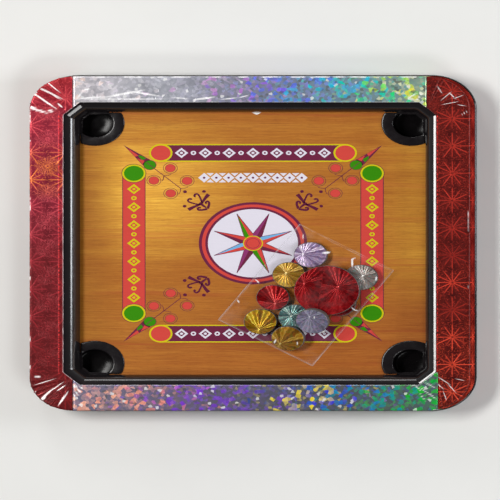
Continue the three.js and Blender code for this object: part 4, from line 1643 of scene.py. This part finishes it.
def make_face(name, piece, side, seed):
    """A stamped foil on the upper face of a piece, side 1, or on its lower face, side -1."""
    radius, thickness = piece_size(name)
    outer = radius - FACE_MARGIN
    rings = round(outer / FACE_RING_WIDTH)
    segments = STRIKER_SEGMENTS if name == "striker" else DISC_SEGMENTS
    plastic = thickness if side > 0 else 0.0
    points = []
    flats = []

    def add(x, y):
        height, flat = face_height(x, y, piece, outer, seed)
        points.append((x, y, plastic + side * FACE_LIFT + side * height * RELIEF_SHARE))
        flats.append(flat)

    add(0.0, 0.0)
    for ring in range(1, rings + 1):
        for angle in around(segments):
            add(*polar(outer * ring / rings, angle))
    foot = plastic + side * FACE_GLUE
    points += [(x * FOOT_FLARE, y * FOOT_FLARE, foot) for x, y, _ in points[-segments:]]
    flats += flats[-segments:]
    points.append((0.0, 0.0, foot))
    flats.append((0.0, 0.0))
    place = lean(piece)
    placed = [tuple(place @ Vector(p)) for p in points]
    label, end = ("top", "face") if side > 0 else ("back", "back")
    obj = mesh_object(f"{name}_{label}_foil", placed, round_faces(rings + 1, segments),
                      [FACE_PAINT[name]], name, slot_of(name), [f"{name}_{end}"])
    give_uv(obj, flats)
    keep_creases(obj, 60)


FACE_PAINT = {name: embossed_foil(f"{name}_foil", piece["shades"], piece["rays"], piece["tints"])
              for name, piece in PIECES.items()}

for number, (name, piece) in enumerate(PIECES.items()):
    make_body(name, piece)
    make_face(name, piece, 1, SEED + 5.3 * number)
    make_face(name, piece, -1, SEED + 5.3 * number + 2.1)


# ------------------------------------------------------------------ pouch

SLIDES = {joint["child"]: joint for joint in frame["joints"] if joint["child"] in PIECES}
FILM_STEP = 0.6
FILM_SLOPE = 1.15
FILM_CLEAR = 0.45
SMOOTHINGS = 14
EDGE_SLOPE = 24.0
WRINKLE = 0.32
FINE_WRINKLE = 0.16
WRINKLE_START = 5.0  # wrinkles reach their full height this far inside the weld
RIPPLE = 0.05


def on_board(along, across):
    """The point of the board under a place along and across the pouch."""
    x, y = rotated(along, across, POUCH_ANGLE)
    return POUCH_CENTRE[0] + x, POUCH_CENTRE[1] + y


def film_height(x, y):
    """How high the top film has to be over a point, at rest and while any piece slides."""
    height = WELD_Z
    for name, piece in PIECES.items():
        radius, thickness = piece_size(name)
        cx, cy, cz = piece["at"]
        joint = SLIDES[name]
        reach = joint["range_m"][1] / MM
        ax, ay, _ = joint["axis"]
        along = min(max((x - cx) * ax + (y - cy) * ay, 0.0), reach)
        dx = x - cx - along * ax
        dy = y - cy - along * ay
        away = math.hypot(dx, dy)
        tilt = math.radians(piece.get("tilt", 0.0))
        towards = math.radians(piece.get("towards", 0.0))
        inside = min(1.0, radius / away) if away > 0 else 1.0
        raised = (dx * math.cos(towards) + dy * math.sin(towards)) * inside
        top = cz + (thickness + 0.4) / math.cos(tilt) + raised * math.tan(tilt)
        height = max(height, top + FILM_CLEAR - FILM_SLOPE * max(0.0, away - radius))
    return height


# Painted glints, drawn as white crease marks: place along and across the pouch, length, width, and turn
# in degrees
CREASE_GLINTS = [
    (44.0, 30.0, 4.5, 0.8, 40), (41.2, 7.6, 6.0, 2.0, -50), (43.3, -12.4, 8.5, 1.4, 33),
    (46.5, -11.0, 4.5, 0.8, -25), (-7.0, 34.5, 5.0, 0.9, 80), (-30.0, 36.0, 3.5, 0.8, 60),
    (-46.0, -6.0, 4.0, 1.0, 5), (-39.0, -20.0, 3.0, 0.8, 30), (-20.0, -30.0, 3.5, 0.7, -30),
    (8.0, -36.0, 5.0, 0.9, 70), (40.0, -34.0, 4.0, 1.2, 20), (-12.0, -18.0, 2.6, 0.7, 15),
]


def draped_film(alongs, acrosses, from_edge):
    """Heights of the top film: smoothed over the pieces and pulled down to the welded edges."""
    needed = np.array([[film_height(*on_board(a, c)) for c in acrosses] for a in alongs])
    film = needed.copy()
    for _ in range(SMOOTHINGS):
        spread = film.copy()
        spread[1:-1, 1:-1] = (film[:-2, 1:-1] + film[2:, 1:-1] + film[1:-1, :-2] + film[1:-1, 2:]) / 4
        film = np.maximum(spread, needed)
    return np.minimum(film, WELD_Z + np.maximum(from_edge - WELD * 0.8, 0.0) * EDGE_SLOPE)


def make_pouch():
    """The bag: a draped top film, open at the mouth, and a lower film on the board."""
    half_length = POUCH_LENGTH / 2
    half_width = POUCH_WIDTH / 2
    rows = round(POUCH_LENGTH / FILM_STEP) + 1
    columns = round(POUCH_WIDTH / FILM_STEP) + 1
    alongs = np.linspace(-half_length, half_length, rows)
    acrosses = np.linspace(-half_width, half_width, columns)
    from_edge = np.minimum((half_width - np.abs(acrosses))[None, :], (alongs + half_length)[:, None])
    film = draped_film(alongs, acrosses, from_edge)
    points = []
    flats = []
    marks = []
    for i, along in enumerate(alongs):
        for j, across in enumerate(acrosses):
            free = min(1.0, max(0.0, (from_edge[i, j] - WELD) / WRINKLE_START))
            wrinkle = WRINKLE * (1 + wobble(along * 0.6, across * 1.3, 5.0, 4.4)) * free
            wrinkle += FINE_WRINKLE * (1 + wobble(along, across, 2.2, 6.6)) * free
            points.append((*on_board(along, across), film[i, j] + wrinkle))
            flats.append((along, across))
            marks.append(mark_strength(along, across, CREASE_GLINTS))
    lower = list(range(rows * columns))
    for i, along in enumerate(alongs):
        for j, across in enumerate(acrosses):
            if from_edge[i, j] < 1e-6:
                continue
            lower[i * columns + j] = len(points)
            ripple = RIPPLE * (1 + wobble(along, across, 6.0, 1.1))
            points.append((*on_board(along, across), POUCH_Z + ripple))
            flats.append((along, across))
            marks.append(0.0)
    upper_faces = grid_faces(rows, columns)
    lower_faces = [tuple(lower[i] for i in face) for face in upper_faces]
    obj = mesh_object("film_pouch", points, upper_faces + lower_faces, [FILM], "pouch", "clear_film",
                      ["pouch"])
    give_uv(obj, flats)
    give_value(obj, "crease", marks)


make_pouch()


# ------------------------------------------------------------------ floor, lights and camera

def make_floor():
    """A plain pale floor."""
    paint = Paint("pale_floor", roughness=0.7)
    place = paint.place()
    tone = paint.noise(place, 0.01, 4.0, 0.6)
    paint.set("Base Color", paint.mix(tone, linear(214, 214, 212), linear(222, 222, 220)))
    mesh = bpy.data.meshes.new("floor")
    size = 1.25
    mesh.from_pydata([(-size, -size, 0), (size, -size, 0), (size, size, 0), (-size, size, 0)],
                     [], [(0, 1, 2, 3)])
    mesh.materials.append(paint.material)
    link(bpy.data.objects.new("floor", mesh))


def add_light(name, place, aim, size, power, colour=(1.0, 1.0, 1.0)):
    """A rectangular softbox; place and aim are in metres."""
    light = bpy.data.lights.new(name, "AREA")
    light.shape = "RECTANGLE"
    light.size, light.size_y = size
    light.energy = power
    light.color = colour
    obj = link(bpy.data.objects.new(name, light))
    obj.location = place
    direction = Vector(aim) - Vector(place)
    obj.rotation_euler = direction.to_track_quat("-Z", "Y").to_euler()


def make_world():
    """A studio that is dark straight overhead and pale all round, down to the floor."""
    world = bpy.data.worlds.new("studio")
    world.use_nodes = True
    studio = Nodes(world.node_tree)
    direction = studio.output(studio.node("ShaderNodeTexCoord"), "Generated")
    _, far, up = studio.split(direction)
    height = studio.span(up, -1.0, 1.0)
    around_it = studio.ramp(height, warm_greys(
        (0.0, 0.86), (0.485, 0.86), (0.52, 0.6), (0.74, 0.36), (0.92, 0.06), (1.0, 0.02)))
    in_front = studio.ramp(height, warm_greys(
        (0.0, 0.86), (0.485, 0.86), (0.54, 0.4), (0.7, 0.1), (0.92, 0.03), (1.0, 0.02)))
    tone = studio.mix(studio.span(far, -0.1, -0.5), around_it, in_front)
    background = world.node_tree.nodes["Background"]
    studio.put(background.inputs["Color"], tone)
    studio.put(background.inputs["Strength"], 1.0)
    bpy.context.scene.world = world


def make_lights():
    """The studio and four softboxes, which draw the white lines along the ledges and walls."""
    make_world()
    add_light("key", (-1.05, 0.3, 1.75), (0, 0, 0), (0.92, 0.4), 30.5, (1.0, 0.985, 0.96))
    add_light("fill", (1.5, 0.16, 0.5), (0, 0, 0), (0.46, 0.55), 15.0, (0.93, 0.96, 1.0))
    add_light("far", (-0.5, 1.7, 0.8), (0, 0, 0), (0.5, 0.4), 6.0)
    add_light("front", (0.9, -1.2, 1.6), (0, 0, 0), (0.8, 0.5), 13.0)


STRETCH = 1.318
LEAN_RIGHT = 0.17
LEAN_FAR = 0.02
VIEW_WIDTH = 0.4537
RIM_MIDDLE = Vector((0.0, 0.0, 0.02535))
OFFSET = Vector((-0.0005, 0.0058))


def make_camera():
    """A parallel view from above, a little from the right and the far side. The view's width is
    stretched, which needs a sheared camera: its columns are right, up and backwards."""
    backwards = Vector((LEAN_RIGHT, LEAN_FAR, 1.0)).normalized()
    a = 1 + LEAN_RIGHT ** 2 + LEAN_FAR ** 2
    b = 2 * LEAN_RIGHT / STRETCH
    c = 1 / STRETCH ** 2 - 1
    rise = (-b + math.sqrt(b * b - 4 * a * c)) / (2 * a)
    right = Vector((1 / STRETCH + LEAN_RIGHT * rise, LEAN_FAR * rise, rise))
    up = Vector((0.0, 1.0, 0.0))
    place = RIM_MIDDLE - right * OFFSET.x - up * OFFSET.y + backwards * 1.5
    matrix = Matrix.Identity(4)
    for column, vector in enumerate((right, up, backwards, place)):
        for row in range(3):
            matrix[row][column] = vector[row]
    data = bpy.data.cameras.new("camera")
    data.type = "ORTHO"
    data.ortho_scale = VIEW_WIDTH
    data.clip_end = 10.0
    camera = link(bpy.data.objects.new("camera", data))
    mount = link(bpy.data.objects.new("camera_mount", None))
    camera.parent = mount
    camera.matrix_parent_inverse = matrix
    bpy.context.scene.camera = camera


make_floor()
make_lights()
make_camera()
bpy.context.scene.view_settings.view_transform = "Standard"
